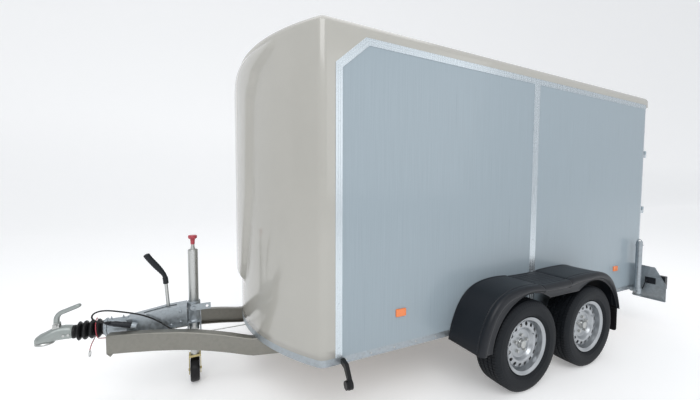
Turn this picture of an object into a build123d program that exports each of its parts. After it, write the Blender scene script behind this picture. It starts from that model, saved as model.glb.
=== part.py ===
"""Closed tandem-axle livestock trailer: chassis, box body, doors, wheels, overrun coupling and jockey wheel.

Frame: +Z up, ground at z = 0, +X to the trailer's left side, drawbar towards -Y.
The origin lies on the ground under the middle of the overall box.
"""
from build123d import *
from math import cos, pi, radians, sin, sqrt, tan
import os

os.makedirs("parts", exist_ok=True)

# Overall sizes, millimetres
drawbar_reach = 1113.0      # coupling tip to the middle of the nose
body_length = 3547.0        # middle of the nose to the rear face of the door frame
door_stack = 60.0           # rear face of the door frame to the back of the hinge knuckles
body_width = 1624.0
rail_bottom = 348.0
rail_height = 40.0
body_height = 1791.0        # top of the rail to the top of the roof
nose_arc_radius = 1290.0
corner_radius = 60.0
wall = 15.0                 # side panels, nose and roof

# Body details
roof_depth = 107.0          # height of the moulded roof lid
roof_edge_radius = 42.0
roof_overhang = 55.0        # roof end behind the door frame
trim_width = 40.0
trim_proud = 3.0
trim_setback = 363.0        # middle of the nose to the front edge of the side trim
trim_chamfer_y = 176.0
trim_chamfer_z = 148.0
mid_post_setback = 1955.0   # middle of the nose to the middle post
mid_post_width = 64.0
bulge_proud = 35.0
bulge_half_bottom = 100.0
bulge_half_top = 300.0
bulge_bottom = 700.0
frame_depth = 15.0          # rear frame, front to back
frame_side = 42.0           # rear frame, width of its posts
floor_thickness = 15.0

# Chassis
rail_flange = 40.0
rail_gauge = 4.0
beam_height = 112.0
beam_flange = 50.0
beam_gauge = 5.0
beam_spread_angle = 14.2    # degrees from the centre line
beam_half_gap = 110.0       # centre line to the outer face at the front end
beam_front_inset = 344.0    # coupling tip to the front end of the beams
beam_top_front = 440.0
beam_rear_y = 60.0
crossmember_width = 40.0
carrier_inset = 172.0       # body side to the inner face of an axle carrier
carrier_width = 60.0
axle_tube = 60.0
axle_tube_wall = 5.0
axle_tube_inset = 32.0      # body side to the end of an axle tube
spindle_radius = 20.0
spindle_depth = 80.0
running_clearance = 0.05

# Wheels, 185/70 R13 on 13 inch steel rims
tyre_radius = 294.5
tyre_width = 185.0
bead_radius = 165.0
rim_flange_radius = 182.5
rim_half_width = 76.0
wheel_offset = 162.5        # body side to the middle of a wheel
axle_setback = 1587.0       # middle of the nose to the front axle
axle_spacing = 680.0
arm_length = 160.0
arm_gap = 3.0               # body side to the inner face of a swing arm
arm_thickness = 30.0
stub_radius = 15.0
disc_inner_x = 20.0         # wheel disc, from the middle of the wheel
disc_thickness = 8.0
bolt_circle = 112.0
bolt_count = 5
vent_count = 16
vent_radius = 9.0
vent_circle_radius = 132.0
cap_radius = 30.0

# Mudguards
guard_reach = 273.0         # body side to the outer face of a mudguard
guard_skin = 5.0
guard_top = 697.0
guard_front_length = 442.0  # front axle to the front end of the mudguard
guard_rear_length = 346.0   # rear axle to the rear end of the mudguard
guard_arch_radius = 346.0
guard_dip_z = 590.0

# Overrun device and coupling
shaft_z = 455.0
shaft_radius = 25.0
shaft_bore = 18.0
overrun_travel = 90.0
head_length = 170.0         # coupling tip to the rear end of the coupling head
ball_radius = 25.4
socket_depth = 32.0
housing_front_inset = 434.0  # coupling tip to the front of the housing
housing_length = 324.0
housing_half_width = 50.0
housing_sheet = 5.0
neck_radius = 45.0
neck_length = 119.0
bellows_radius = 55.0
handbrake_inset = 668.0     # coupling tip to the handbrake pivot
handbrake_z = 420.0
handbrake_arm = 75.0
brake_rod_x = 48.0

# Jockey wheel
jockey_inset = 798.0        # coupling tip to the jockey tube axis
jockey_tube_radius = 30.0
jockey_inner_radius = 26.0
jockey_top = 886.0
jockey_wheel_radius = 80.0
jockey_wheel_width = 57.0
jockey_winding = 70.0

# Rear props and lights
prop_offset = 58.0          # body side to the axis of a prop
prop_inset = 142.0          # rear face of the door frame to the axis of a prop
prop_radius = 24.0
prop_bottom = 315.0
prop_top = 825.0
prop_clamp_bottom = 300.0
board_inset = 64.0          # rear face of the door frame to a light board
board_thickness = 4.0
board_reach = 233.0         # body side to the outer edge of a light board

# Doors
door_gap = 3.0
door_thickness = 24.0
door_seal_gap = 1.0
hinge_pin_radius = 6.0
hinge_radius = 13.0
hinge_heights = (560.0, 1100.0, 1631.0)
hinge_leaf = 30.0
lock_rod_radius = 10.0
lock_rod_x = 90.0

# Places worked out from the sizes above
overall_length = drawbar_reach + body_length + door_stack
tip_y = -overall_length / 2
nose_y = tip_y + drawbar_reach
frame_rear_y = nose_y + body_length
frame_front_y = frame_rear_y - frame_depth
rear_edge_y = frame_rear_y + door_stack
half_width = body_width / 2
rail_top = rail_bottom + rail_height
roof_top = rail_top + body_height
roof_bottom = roof_top - roof_depth
trim_y = nose_y + trim_setback
pin_y = rear_edge_y - hinge_radius
pin_x = half_width - 12.0
mid_post_y = nose_y + mid_post_setback
carrier_x = half_width - carrier_inset
axle_tube_half = half_width - axle_tube_inset
wheel_centre_x = half_width + wheel_offset
axle_y = {"front": nose_y + axle_setback, "rear": nose_y + axle_setback + axle_spacing}
arm_x = half_width + arm_gap
guard_x = half_width + guard_reach
guard_front_y = axle_y["front"] - guard_front_length
guard_rear_y = axle_y["rear"] + guard_rear_length
prop_x = half_width + prop_offset
prop_y = frame_rear_y - prop_inset
board_y = frame_rear_y - board_inset
board_outer_x = half_width + board_reach


def block(x, y, z):
    """Box between three pairs of coordinates."""
    box = Box(x[1] - x[0], y[1] - y[0], z[1] - z[0], align=(Align.MIN, Align.MIN, Align.MIN))
    return Pos(x[0], y[0], z[0]) * box


def rod(start, end, radius):
    """Round bar from one point to another."""
    line = Vector(*end) - Vector(*start)
    bar = Cylinder(radius, line.length, align=(Align.CENTER, Align.CENTER, Align.MIN))
    return Plane(origin=start, z_dir=line) * bar


def tube(start, end, radius, bore):
    """Round tube from one point to another."""
    return rod(start, end, radius) - rod(start, end, bore)


def side_prism(points, x):
    """Outline of (y, z) points carried along X between two values."""
    outline = Polyline(*[(x[0], y, z) for y, z in points], close=True)
    return extrude(make_face(outline.edges()), amount=x[1] - x[0], dir=(1, 0, 0))


def plan_prism(points, z):
    """Outline of (x, y) points carried up between two heights."""
    outline = Polyline(*[(x, y, z[0]) for x, y in points], close=True)
    return extrude(make_face(outline.edges()), amount=z[1] - z[0], dir=(0, 0, 1))


def cross_prism(points, y):
    """Outline of (x, z) points carried along Y between two values."""
    outline = Polyline(*[(x, y[0], z) for x, z in points], close=True)
    return extrude(make_face(outline.edges()), amount=y[1] - y[0], dir=(0, 1, 0))


def turned(points, place):
    """Outline of (x, radius) points turned about an axle along X at the given place."""
    outline = Polyline(*[(x, r, 0) for x, r in points], close=True)
    return Pos(*place) * revolve(make_face(outline.edges()), axis=Axis.X)


def other_side(shape):
    """The same piece on the trailer's right side."""
    return mirror(shape, about=Plane.YZ)


def both(shape):
    """A piece and its mirror image."""
    return [shape, other_side(shape)]


def save(name, *pieces):
    """Write one node, keeping its pieces as separate solids."""
    solids = []
    for piece in pieces:
        solids.extend(piece.solids())
    export_step(Compound(solids), f"parts/{name}.step")


def body_plan(inset, rear_y):
    """Plan of the body: a shallow arc across the nose, rounded corners and straight sides."""
    half = half_width - inset
    radius = nose_arc_radius - inset
    front = nose_y + inset
    corner_y = front + radius - sqrt(radius ** 2 - half ** 2)
    arc = ThreePointArc((-half, corner_y), (0, front), (half, corner_y))
    sides = Polyline((half, corner_y), (half, rear_y), (-half, rear_y), (-half, corner_y))
    face = make_face([*arc.edges(), *sides.edges()])
    return fillet(face.vertices().sort_by(Axis.Y)[:2], corner_radius - inset)


def plan_slab(inset, rear_y, z):
    """Slab of the body's plan between two heights."""
    return extrude(Pos(0, 0, z[0]) * body_plan(inset, rear_y), amount=z[1] - z[0], dir=(0, 0, 1))


# Perimeter rail: a folded angle that follows the body's plan
rail_web = plan_slab(0, frame_rear_y, (rail_bottom, rail_top))
rail_web -= plan_slab(rail_gauge, frame_rear_y - rail_gauge, (rail_bottom, rail_top))
rail_foot = plan_slab(0, frame_rear_y, (rail_bottom, rail_bottom + rail_gauge))
rail_foot -= plan_slab(rail_flange, frame_rear_y - rail_flange, (rail_bottom, rail_top))
save("perimeter_rail", rail_web + rail_foot)

# Underframe: floor crossmembers inside the rail, carriers that the axles bolt to, and drawbar crossmembers
crossmember_half = half_width - rail_flange
underframe = []
for station in (0.154, 0.323, 0.470, 0.566, 0.662, 0.831):
    y = nose_y + station * body_length
    span_y = (y, y + crossmember_width)
    underframe.append(block((-crossmember_half, crossmember_half), span_y, (rail_bottom, rail_top)))
axle_tube_z = rail_bottom - 56.0 - axle_tube / 2
carrier_z = (axle_tube_z + axle_tube / 2, rail_bottom)
underframe += both(block((carrier_x, carrier_x + carrier_width), (axle_y["front"] - 400.0, axle_y["rear"] + 280.0), carrier_z))

# Axle tubes: square tubes with bushed ends that hold the swing arms' spindles
axle_tubes = []
for wheel_y in axle_y.values():
    centre_y = wheel_y - arm_length
    half = axle_tube / 2
    inner = half - axle_tube_wall
    solid_end = axle_tube_half - spindle_depth
    outer_y = (centre_y - half, centre_y + half)
    outer_z = (axle_tube_z - half, axle_tube_z + half)
    beam = block((-axle_tube_half, axle_tube_half), outer_y, outer_z)
    beam -= block((-solid_end, solid_end), (centre_y - inner, centre_y + inner),
                  (axle_tube_z - inner, axle_tube_z + inner))
    bore = rod((solid_end, centre_y, axle_tube_z), (axle_tube_half, centre_y, axle_tube_z),
               spindle_radius + running_clearance)
    axle_tubes.append(beam - bore - other_side(bore))
save("axle_tubes", *axle_tubes)

# Drawbar beams: folded channels, open towards the middle, cranked down to pass under the floor
beam_front_y = tip_y + beam_front_inset
beam_angle = radians(beam_spread_angle)
beam_length = (beam_rear_y - beam_front_y) / cos(beam_angle)
crank_start = (nose_y - beam_front_y) / cos(beam_angle)
crank_drop = beam_top_front - rail_bottom
beam_top = [
    (0.0, beam_top_front),
    (crank_start - 664.0, beam_top_front),
    (crank_start - 345.0, beam_top_front - 0.21 * crank_drop),
    (crank_start - 118.0, beam_top_front - 0.66 * crank_drop),
    (crank_start + 8.0, rail_bottom),
    (beam_length, rail_bottom),
]


def beam_prism(margin, x):
    """Side outline of a drawbar beam, taken in by a margin above and below."""
    upper = [(s, z - margin) for s, z in beam_top]
    lower = [(s, z - beam_height + margin) for s, z in reversed(beam_top)]
    return side_prism(upper + lower, x)


beam = beam_prism(0.0, (-beam_flange, 0.0)) - beam_prism(beam_gauge, (-beam_flange, -beam_gauge))
beam = Pos(beam_half_gap, beam_front_y, 0) * Rot(0, 0, -beam_spread_angle) * beam
save("drawbar_beam_left", beam)
save("drawbar_beam_right", other_side(beam))


def web_x(y):
    """Inner face of a beam's web at a station along the trailer."""
    return beam_half_gap + (y - beam_front_y) * tan(beam_angle) - beam_gauge / cos(beam_angle)


def flange_x(y):
    """Inner edge of a beam's flanges at a station along the trailer."""
    return beam_half_gap + (y - beam_front_y) * tan(beam_angle) - beam_flange / cos(beam_angle)


# Drawbar crossmembers: two plates under the overrun housing and two upright ones under the jockey wheel clamp
housing_front_y = tip_y + housing_front_inset
housing_rear_y = housing_front_y + housing_length
housing_bottom = 400.0
jockey_y = tip_y + jockey_inset
handbrake_y = tip_y + handbrake_inset
lever_gap = block((-20.0, brake_rod_x + 20.0), (handbrake_y - 60.0, handbrake_y + 60.0), (380.0, 410.0))
for y in (housing_front_y + 10.0, housing_rear_y - 110.0):
    corners = [(web_x(y), y), (web_x(y + 50), y + 50), (-web_x(y + 50), y + 50), (-web_x(y), y)]
    underframe.append(plan_prism(corners, (housing_bottom - 8.0, housing_bottom)) - lever_gap)
beam_y = (jockey_y - 38.0, jockey_y + 42.0)
for y in ((beam_y[0], beam_y[0] + 5.0), (beam_y[1] - 8.0, beam_y[1])):
    underframe.append(plan_prism([
        (flange_x(y[0]), y[0]), (flange_x(y[1]), y[1]), (-flange_x(y[1]), y[1]), (-flange_x(y[0]), y[0]),
    ], (350.0, 410.0)))
save("underframe", *underframe)

# Floor panel: plywood, inside the walls
save("floor_panel", plan_slab(wall, frame_front_y, (rail_top, rail_top + floor_thickness)))

# Body walls. The side opening's front edge is a chamfer between the front trim and the top trim.
opening_y = trim_y + trim_width / 2
chamfer_low = roof_bottom - trim_chamfer_z
side_outline = [
    (opening_y, rail_top),
    (opening_y, chamfer_low),
    (opening_y + trim_chamfer_y, roof_bottom),
    (frame_front_y, roof_bottom),
    (frame_front_y, rail_top),
]
panel = side_prism(side_outline, (half_width - wall, half_width))
save("side_panel_left", panel)
save("side_panel_right", other_side(panel))

shell = plan_slab(0, frame_front_y, (rail_top, roof_bottom)) - plan_slab(wall, frame_front_y, (rail_top, roof_bottom))
shell -= side_prism(side_outline, (-half_width, half_width))
bulge = cross_prism([
    (-bulge_half_bottom, bulge_bottom), (bulge_half_bottom, bulge_bottom),
    (bulge_half_top, roof_bottom), (-bulge_half_top, roof_bottom),
], (nose_y - bulge_proud, nose_y + 100.0))
bulge = fillet(bulge.edges().filter_by(Axis.X).sort_by(Axis.Y)[:2], bulge_proud - 5.0)
bulge -= plan_slab(0, frame_front_y, (rail_top, roof_bottom))
cheek_y = trim_y - 20.0
front_half = block((-half_width, half_width), (nose_y - bulge_proud, cheek_y), (rail_top, roof_bottom))
cheeks = []
for outline in (
    [(cheek_y, rail_top), (opening_y, rail_top), (opening_y, chamfer_low), (cheek_y, chamfer_low)],
    [(cheek_y, chamfer_low), (opening_y, chamfer_low), (opening_y + trim_chamfer_y, roof_bottom),
     (cheek_y, roof_bottom)],
):
    cheeks += both(side_prism(outline, (half_width - wall, half_width)))
save("nose_shell", (shell & front_half) + bulge, *cheeks)

# Roof: a moulded lid with rounded top edges, open underneath
roof_rear_y = frame_rear_y + roof_overhang
roof = plan_slab(0, roof_rear_y, (roof_bottom, roof_top))
roof = fillet(roof.faces().sort_by(Axis.Z)[-1].edges(), roof_edge_radius)
roof -= plan_slab(wall, roof_rear_y - wall, (roof_bottom, roof_top - wall))
save("roof_shell", roof)


# Side trims: aluminium strips round the side panel and down its middle
def trim_outline(margin):
    """Outline of the trim frame, taken in by a margin."""
    return [
        (trim_y + margin, rail_top),
        (trim_y + margin, chamfer_low + 10.0 - 0.5 * margin),
        (trim_y + trim_chamfer_y + 0.5 * margin, roof_bottom + 20.0 - margin),
        (frame_rear_y, roof_bottom + 20.0 - margin),
        (frame_rear_y, rail_top),
    ]


trim_x = (half_width, half_width + trim_proud)
strips = []
for i in range(3):
    corners = trim_outline(0.0)[i:i + 2] + trim_outline(trim_width)[i:i + 2][::-1]
    strips += both(side_prism(corners, trim_x))
mid_post = block(trim_x, (mid_post_y - mid_post_width / 2, mid_post_y + mid_post_width / 2),
                 (rail_top, roof_bottom + 20.0 - trim_width))
save("side_trims", *strips, *both(mid_post))

# Rear frame: aluminium portal that the doors close against, with keeper plates over and under the lock rods
frame_opening_x = half_width - frame_side
door_top = roof_bottom - 12.0
door_bottom = rail_top + 7.0
frame_y = (frame_front_y, frame_rear_y)
rear_frame = both(block((frame_opening_x, half_width), frame_y, (rail_top, roof_bottom)))
for z in ((rail_top, rail_top + floor_thickness), (roof_bottom - frame_side, roof_bottom)):
    rear_frame.append(block((-frame_opening_x, frame_opening_x), frame_y, z))
keeper = block((lock_rod_x - 20, lock_rod_x + 20), (frame_rear_y, frame_rear_y + 6.0), (door_top + 1.0, roof_bottom))

# Amber side reflectors
reflectors = []
for y, z in ((nose_y + 779.0, 567.0), (frame_rear_y - 421.0, 576.0)):
    reflectors += both(block((half_width, half_width + 8.0), (y - 35, y + 35), (z - 22.5, z + 22.5)))
save("reflectors", *reflectors)

# Front marker lamps on rubber arms that hang out from the rail
marker_y = trim_y + 42.0
marker_arm = cross_prism([
    (half_width, 378.0), (half_width, 352.0), (half_width + 40.0, 346.0), (half_width + 78.0, 300.0),
    (half_width + 104.0, 300.0), (half_width + 56.0, 372.0),
], (marker_y - 11.0, marker_y + 11.0))
lamp_x = half_width + 91.0
marker_housing = rod((lamp_x, marker_y - 11.0, 284.0), (lamp_x, marker_y + 11.0, 284.0), 26.0)
marker_lens = rod((lamp_x, marker_y - 25.0, 284.0), (lamp_x, marker_y - 11.0, 284.0), 23.0)
save("marker_lamps", *both(marker_arm - marker_housing), *both(marker_housing), *both(marker_lens))


# Mudguards: one tandem moulding on each side, open below and towards the wheels, with a flap behind
def guard_prism(margin, x):
    """Side outline of the mudguard, taken in by a margin."""
    top = guard_top - margin
    return side_prism([
        (guard_front_y + margin, rail_bottom - 18.0),
        (guard_front_y + 30.0 + margin, 455.0),
        (guard_front_y + 90.0 + margin, 572.0),
        (guard_front_y + 190.0 + 0.5 * margin, 655.0 - 0.5 * margin),
        (guard_front_y + 330.0, top),
        (guard_rear_y - 270.0, top),
        (guard_rear_y - 140.0 - 0.5 * margin, 660.0 - 0.5 * margin),
        (guard_rear_y - 60.0 - margin, 570.0),
        (guard_rear_y - margin, 398.0),
        (guard_rear_y - margin, 380.0),
        (guard_rear_y - 60.0, 380.0),
        (guard_front_y + 60.0, rail_bottom - 18.0),
    ], x)


guard_inner_x = half_width + trim_proud
guard = guard_prism(0.0, (guard_inner_x, guard_x))
guard -= guard_prism(guard_skin, (guard_inner_x, guard_x - guard_skin))
wheel_span = (axle_y["front"], axle_y["rear"])
guard -= block((guard_inner_x, guard_x), wheel_span, (rail_bottom - 200.0, guard_dip_z))
for wheel_y in wheel_span:
    guard -= rod((guard_inner_x, wheel_y, tyre_radius), (guard_x, wheel_y, tyre_radius), guard_arch_radius)
guard -= block((guard_inner_x, guard_x), (wheel_span[0] - 300.0, wheel_span[1] + 300.0), (300.0, 400.0))
flap = block((guard_inner_x + 5.0, guard_x - 15.0), (guard_rear_y - guard_skin - 6.0, guard_rear_y - guard_skin),
             (200.0, 397.0))
flap -= guard
save("mudguard_left", guard, flap)
save("mudguard_right", other_side(guard), other_side(flap))

# Rear light boards: folded wings beside the body, each with a lamp on its rear face
board = cross_prism([
    (half_width, 285.0), (board_outer_x, 285.0), (board_outer_x, 434.0),
    (board_outer_x - 84.0, 580.0), (half_width, 588.0),
], (board_y, board_y + board_thickness))
board -= block((board_outer_x - 152.0, board_outer_x - 74.0), (board_y, board_y + board_thickness), (424.0, 483.0))
board += block((half_width, board_outer_x), (board_y - 18.0, board_y), (285.0, 288.0))
save("light_boards", *both(board))
lamp_y = (board_y + board_thickness, board_y + 44.0)
lamp_body = block((board_outer_x - 187.0, board_outer_x - 10.0), lamp_y, (396.0, 510.0))
save("tail_lamps", *both(lamp_body))


# Swing arms and wheels, one set at each corner
def swing_arm(wheel_y):
    """Trailing arm with its torsion spindle, brake backplate and stub axle."""
    pivot_y = wheel_y - arm_length
    outer = arm_x + arm_thickness
    arm = rod((arm_x, pivot_y, axle_tube_z), (outer, pivot_y, axle_tube_z), 30.0)
    arm += rod((arm_x, wheel_y, tyre_radius), (outer, wheel_y, tyre_radius), 30.0)
    arm += side_prism([
        (pivot_y, axle_tube_z - 28.0), (wheel_y, tyre_radius - 28.0),
        (wheel_y, tyre_radius + 28.0), (pivot_y, axle_tube_z + 28.0),
    ], (arm_x, outer))
    spindle_start = axle_tube_half - spindle_depth
    arm += rod((spindle_start, pivot_y, axle_tube_z), (arm_x, pivot_y, axle_tube_z), spindle_radius)
    arm += rod((outer, wheel_y, tyre_radius), (outer + 9.0, wheel_y, tyre_radius), 108.0)
    arm += rod((outer + 9.0, wheel_y, tyre_radius), (wheel_centre_x, wheel_y, tyre_radius), stub_radius)
    return arm


def tyre(wheel_y):
    """Radial tyre with a flat tread and a bead on each side."""
    half = tyre_width / 2
    bead_half = rim_half_width - 6.0
    side = [(bead_half, bead_radius), (bead_half, rim_flange_radius), (half - 3.0, 212.0),
            (half, 238.0), (half - 3.0, 262.0), (half - 11.0, 282.0), (half - 24.0, tyre_radius)]
    points = side + [(-x, r) for x, r in reversed(side)]
    points += [(-bead_half + 14.0, bead_radius), (-half + 14.0, 230.0), (-60.0, 278.0),
               (60.0, 278.0), (half - 14.0, 230.0), (bead_half - 14.0, bead_radius)]
    return turned(points, (wheel_centre_x, wheel_y, tyre_radius))


def rim(wheel_y):
    """Pressed steel wheel: rim, disc, vent holes and bolt holes."""
    inner = bead_radius - 4.0
    lip = rim_half_width - 6.0
    place = (wheel_centre_x, wheel_y, tyre_radius)
    wheel = turned([(-rim_half_width, inner), (rim_half_width, inner), (rim_half_width, rim_flange_radius),
                    (lip, rim_flange_radius), (lip, bead_radius), (-lip, bead_radius),
                    (-lip, rim_flange_radius), (-rim_half_width, rim_flange_radius)], place)
    bore = cap_radius + 1.0
    wheel += turned([(disc_inner_x, bore), (disc_inner_x + disc_thickness, bore),
                     (disc_inner_x + disc_thickness, inner), (disc_inner_x, inner)], place)
    start = wheel_centre_x + disc_inner_x
    for i in range(vent_count):
        angle = 2 * pi * i / vent_count
        y = wheel_y + vent_circle_radius * cos(angle)
        z = tyre_radius + vent_circle_radius * sin(angle)
        wheel -= rod((start, y, z), (start + disc_thickness, y, z), vent_radius)
    for y, z in bolt_places(wheel_y):
        wheel -= rod((start, y, z), (start + disc_thickness, y, z), 7.5)
    return wheel


def bolt_places(wheel_y):
    """Places of the wheel bolts on their circle."""
    places = []
    for i in range(bolt_count):
        angle = pi / 2 + 2 * pi * i / bolt_count
        places.append((wheel_y + bolt_circle / 2 * cos(angle), tyre_radius + bolt_circle / 2 * sin(angle)))
    return places


def hub(wheel_y):
    """Brake drum and hub with its grease cap, then the wheel bolts."""
    face = disc_inner_x
    drum_start = arm_x + arm_thickness + 11.0 - wheel_centre_x
    bore = stub_radius + running_clearance
    drum = turned([(drum_start, bore), (drum_start, 104.0), (drum_start + 56.0, 104.0),
                   (drum_start + 56.0, 72.0), (face, 72.0), (face, cap_radius), (face + 34.0, cap_radius - 3.0),
                   (face + 34.0, 0.0), (1.0, 0.0), (1.0, bore)], (wheel_centre_x, wheel_y, tyre_radius))
    start = wheel_centre_x + disc_inner_x
    bolts = []
    for y, z in bolt_places(wheel_y):
        bolt = rod((start, y, z), (start + disc_thickness, y, z), 7.0)
        bolts.append(bolt + rod((start + disc_thickness, y, z), (start + disc_thickness + 12.0, y, z), 10.0))
    return [drum, *bolts]


for axle, wheel_y in axle_y.items():
    save(f"swing_arm_{axle}_left", swing_arm(wheel_y))
    save(f"swing_arm_{axle}_right", other_side(swing_arm(wheel_y)))
    save(f"tyre_{axle}_left", tyre(wheel_y))
    save(f"tyre_{axle}_right", other_side(tyre(wheel_y)))
    save(f"rim_{axle}_left", rim(wheel_y))
    save(f"rim_{axle}_right", other_side(rim(wheel_y)))
    save(f"hub_{axle}_left", *hub(wheel_y))
    save(f"hub_{axle}_right", *[other_side(piece) for piece in hub(wheel_y)])

# Overrun housing: folded sheet over the shaft, with a round neck in front and a slot for the handbrake lever


def housing_prism(margin, x):
    """Side outline of the overrun housing, taken in by a margin above and in front."""
    front = housing_front_y + margin
    return side_prism([
        (front, housing_bottom), (front, 496.0 - margin), (housing_front_y + 214.0, 530.0 - margin),
        (housing_rear_y, 536.0 - margin), (housing_rear_y, housing_bottom),
    ], x)


inner_half = housing_half_width - housing_sheet
housing = housing_prism(0.0, (-housing_half_width, housing_half_width))
housing -= housing_prism(housing_sheet, (-inner_half, inner_half))
housing -= block((-12.0, 12.0), (handbrake_y - 150.0, handbrake_y + 30.0), (480.0, 540.0))
neck_front_y = housing_front_y - neck_length
neck = rod((0, neck_front_y, shaft_z), (0, housing_front_y + housing_sheet, shaft_z), neck_radius)
neck += rod((0, neck_front_y + 8.0, shaft_z), (0, neck_front_y + 20.0, shaft_z), neck_radius + 7.0)
shaft_hole = rod((0, neck_front_y, shaft_z), (0, housing_front_y + 20.0, shaft_z), shaft_radius + running_clearance)
housing = housing + neck - shaft_hole
pivot_start = (-housing_half_width - 6.0, handbrake_y, handbrake_z)
pivot_end = (housing_half_width + 6.0, handbrake_y, handbrake_z)
housing += rod(pivot_start, pivot_end, 8.0)

# Drawbar shaft: slides in the neck as the trailer runs up against the car
head_rear_y = tip_y + head_length
shaft_front = (0, head_rear_y - 40.0, shaft_z)
shaft_rear = (0, handbrake_y - 190.0, shaft_z)
save("drawbar_shaft", tube(shaft_front, shaft_rear, shaft_radius, shaft_bore))

# Coupling head: a cup over the ball, a tapered body and a clamp round the shaft
cup_radius = 42.0
cup_y = tip_y + cup_radius
head = rod((0, cup_y, 415.0), (0, cup_y, 471.0), cup_radius)
head += side_prism([(cup_y, 425.0), (cup_y, 471.0), (cup_y + 50.0, 497.0), (head_rear_y - 34.0, 500.0),
                    (head_rear_y, 488.0), (head_rear_y, 422.0)], (-34.0, 34.0))
head -= rod((0, cup_y, 415.0), (0, cup_y, 415.0 + socket_depth), ball_radius)
head -= rod((0, head_rear_y - 40.0, shaft_z), (0, head_rear_y, shaft_z), shaft_radius)
handle_y = cup_y + 56.0
handle_z = 512.0
ear = block((13.0, 20.0), (handle_y - 14.0, handle_y + 14.0), (490.0, handle_z + 12.0))
head += ear
head += other_side(ear)
head += rod((-24.0, handle_y, handle_z), (24.0, handle_y, handle_z), 5.0)
save("coupling_head", head)

# Coupling handle: a bent lever between the ears, lying back over the head
handle = side_prism([
    (handle_y - 11.0, handle_z - 9.0), (handle_y + 11.0, handle_z - 9.0), (handle_y + 16.0, 556.0),
    (handle_y + 112.0, 592.0), (handle_y + 107.0, 608.0), (handle_y - 3.0, 572.0),
], (-12.5, 12.5))
handle -= rod((-13.0, handle_y, handle_z), (13.0, handle_y, handle_z), 5.0 + running_clearance)
save("coupling_handle", handle)

# Rubber bellows between the head and the neck
bellows = tube((0, head_rear_y + 1.0, shaft_z), (0, neck_front_y - 1.0, shaft_z), bellows_radius, shaft_radius + 3.0)
save("bellows", bellows)

# Handbrake lever: a plate on its pivot, a bent tube above it and a pin below that pulls the brake rod
lever_knee = (0, handbrake_y - 31.0, 729.0)
lever_foot = (0, handbrake_y - 15.0, 500.0)
grip_end = (0, handbrake_y - 134.0, 877.0)
plate = side_prism([
    (handbrake_y - 12.0, handbrake_z - handbrake_arm - 8.0), (handbrake_y + 12.0, handbrake_z - handbrake_arm - 8.0),
    (handbrake_y + 20.0, handbrake_z), (handbrake_y, 516.0), (handbrake_y - 28.0, 516.0),
    (handbrake_y - 20.0, handbrake_z),
], (-5.0, 5.0))
lever = plate + rod(lever_foot, lever_knee, 10.5) + Pos(*lever_knee) * Sphere(10.5)
lever += rod(lever_knee, grip_end, 10.5)
lever -= rod((-6.0, handbrake_y, handbrake_z), (6.0, handbrake_y, handbrake_z), 8.0 + running_clearance)
lower_z = handbrake_z - handbrake_arm
lever += rod((-5.0, handbrake_y, lower_z), (brake_rod_x + 7.0, handbrake_y, lower_z), 6.0)
save("handbrake_lever", lever)
grip_start = tuple(Vector(*lever_knee) + (Vector(*grip_end) - Vector(*lever_knee)) * 0.1)
save("handbrake_grip", tube(grip_start, grip_end, 14.5, 10.5) + Plane(
    origin=grip_end, z_dir=Vector(*grip_end) - Vector(*lever_knee)) * Cylinder(
        14.5, 6.0, align=(Align.CENTER, Align.CENTER, Align.MIN)))

# Brake rod: hangs on the lever's lower pin in a slotted eye and pulls the brakes on
rod_z = 340.0
eye = block((brake_rod_x - 4.0, brake_rod_x + 4.0), (handbrake_y - 16.0, handbrake_y + 18.0), (rod_z - 6.0, 380.0))
eye -= block((brake_rod_x - 4.0, brake_rod_x + 4.0), (handbrake_y - 9.0, handbrake_y + 9.0), (rod_z - 3.0, 373.0))
brake_rod = eye + rod((brake_rod_x, handbrake_y + 17.0, rod_z), (brake_rod_x, 120.0, rod_z), 4.0)
save("brake_rod", brake_rod)

# Jockey wheel clamp: a base on the crossmember and a split collar round the tube
clamp = block((-52.0, 52.0), (jockey_y - 38.0, jockey_y + 42.0), (410.0, 440.0))
clamp += rod((0, jockey_y, 440.0), (0, jockey_y, 546.0), jockey_tube_radius + 9.0)
clamp += block((20.0, 62.0), (jockey_y - 12.0, jockey_y + 12.0), (500.0, 540.0))
clamp -= rod((0, jockey_y, 410.0), (0, jockey_y, 546.0), jockey_tube_radius + running_clearance)
save("jockey_clamp", clamp)

# Clamp lever: a flat tongue on the clamp screw
lever_x = (64.0, 72.0)
tongue = rod((lever_x[0], jockey_y, 520.0), (lever_x[1], jockey_y, 520.0), 20.0)
tongue += block(lever_x, (jockey_y, jockey_y + 100.0), (500.0, 540.0))
tongue -= rod((lever_x[0], jockey_y + 78.0, 520.0), (lever_x[1], jockey_y + 78.0, 520.0), 9.0)
save("jockey_clamp_lever", tongue)

# Jockey wheel tubes, crank, fork and wheel
fork_top = 2 * jockey_wheel_radius + 26.0
outer_bottom = fork_top + 20.0 + jockey_winding
save("jockey_outer_tube", tube((0, jockey_y, outer_bottom), (0, jockey_y, jockey_top),
                               jockey_tube_radius, jockey_inner_radius))
inner_radius = jockey_inner_radius - running_clearance
inner_top = jockey_top - jockey_winding - 120.0
save("jockey_inner_tube", tube((0, jockey_y, fork_top + 1.0), (0, jockey_y, inner_top), inner_radius, 20.0))
knob_z = jockey_top + 37.0
stem = rod((0, jockey_y, jockey_top + 1.0), (0, jockey_y, knob_z), 13.0)
stem += rod((0, jockey_y, inner_top - 200.0), (0, jockey_y, jockey_top + 1.0), 8.0)
knob = rod((0, jockey_y, knob_z), (0, jockey_y, knob_z + 35.0), 14.0)
knob += rod((0, jockey_y, knob_z + 35.0), (0, jockey_y, knob_z + 60.0), 27.0)
save("jockey_crank", stem, knob)
fork_half = jockey_wheel_width / 2 + 3.0
fork = block((-28.0, 28.0), (jockey_y - fork_half - 5.0, jockey_y + fork_half + 5.0), (fork_top - 14.0, fork_top))
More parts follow.
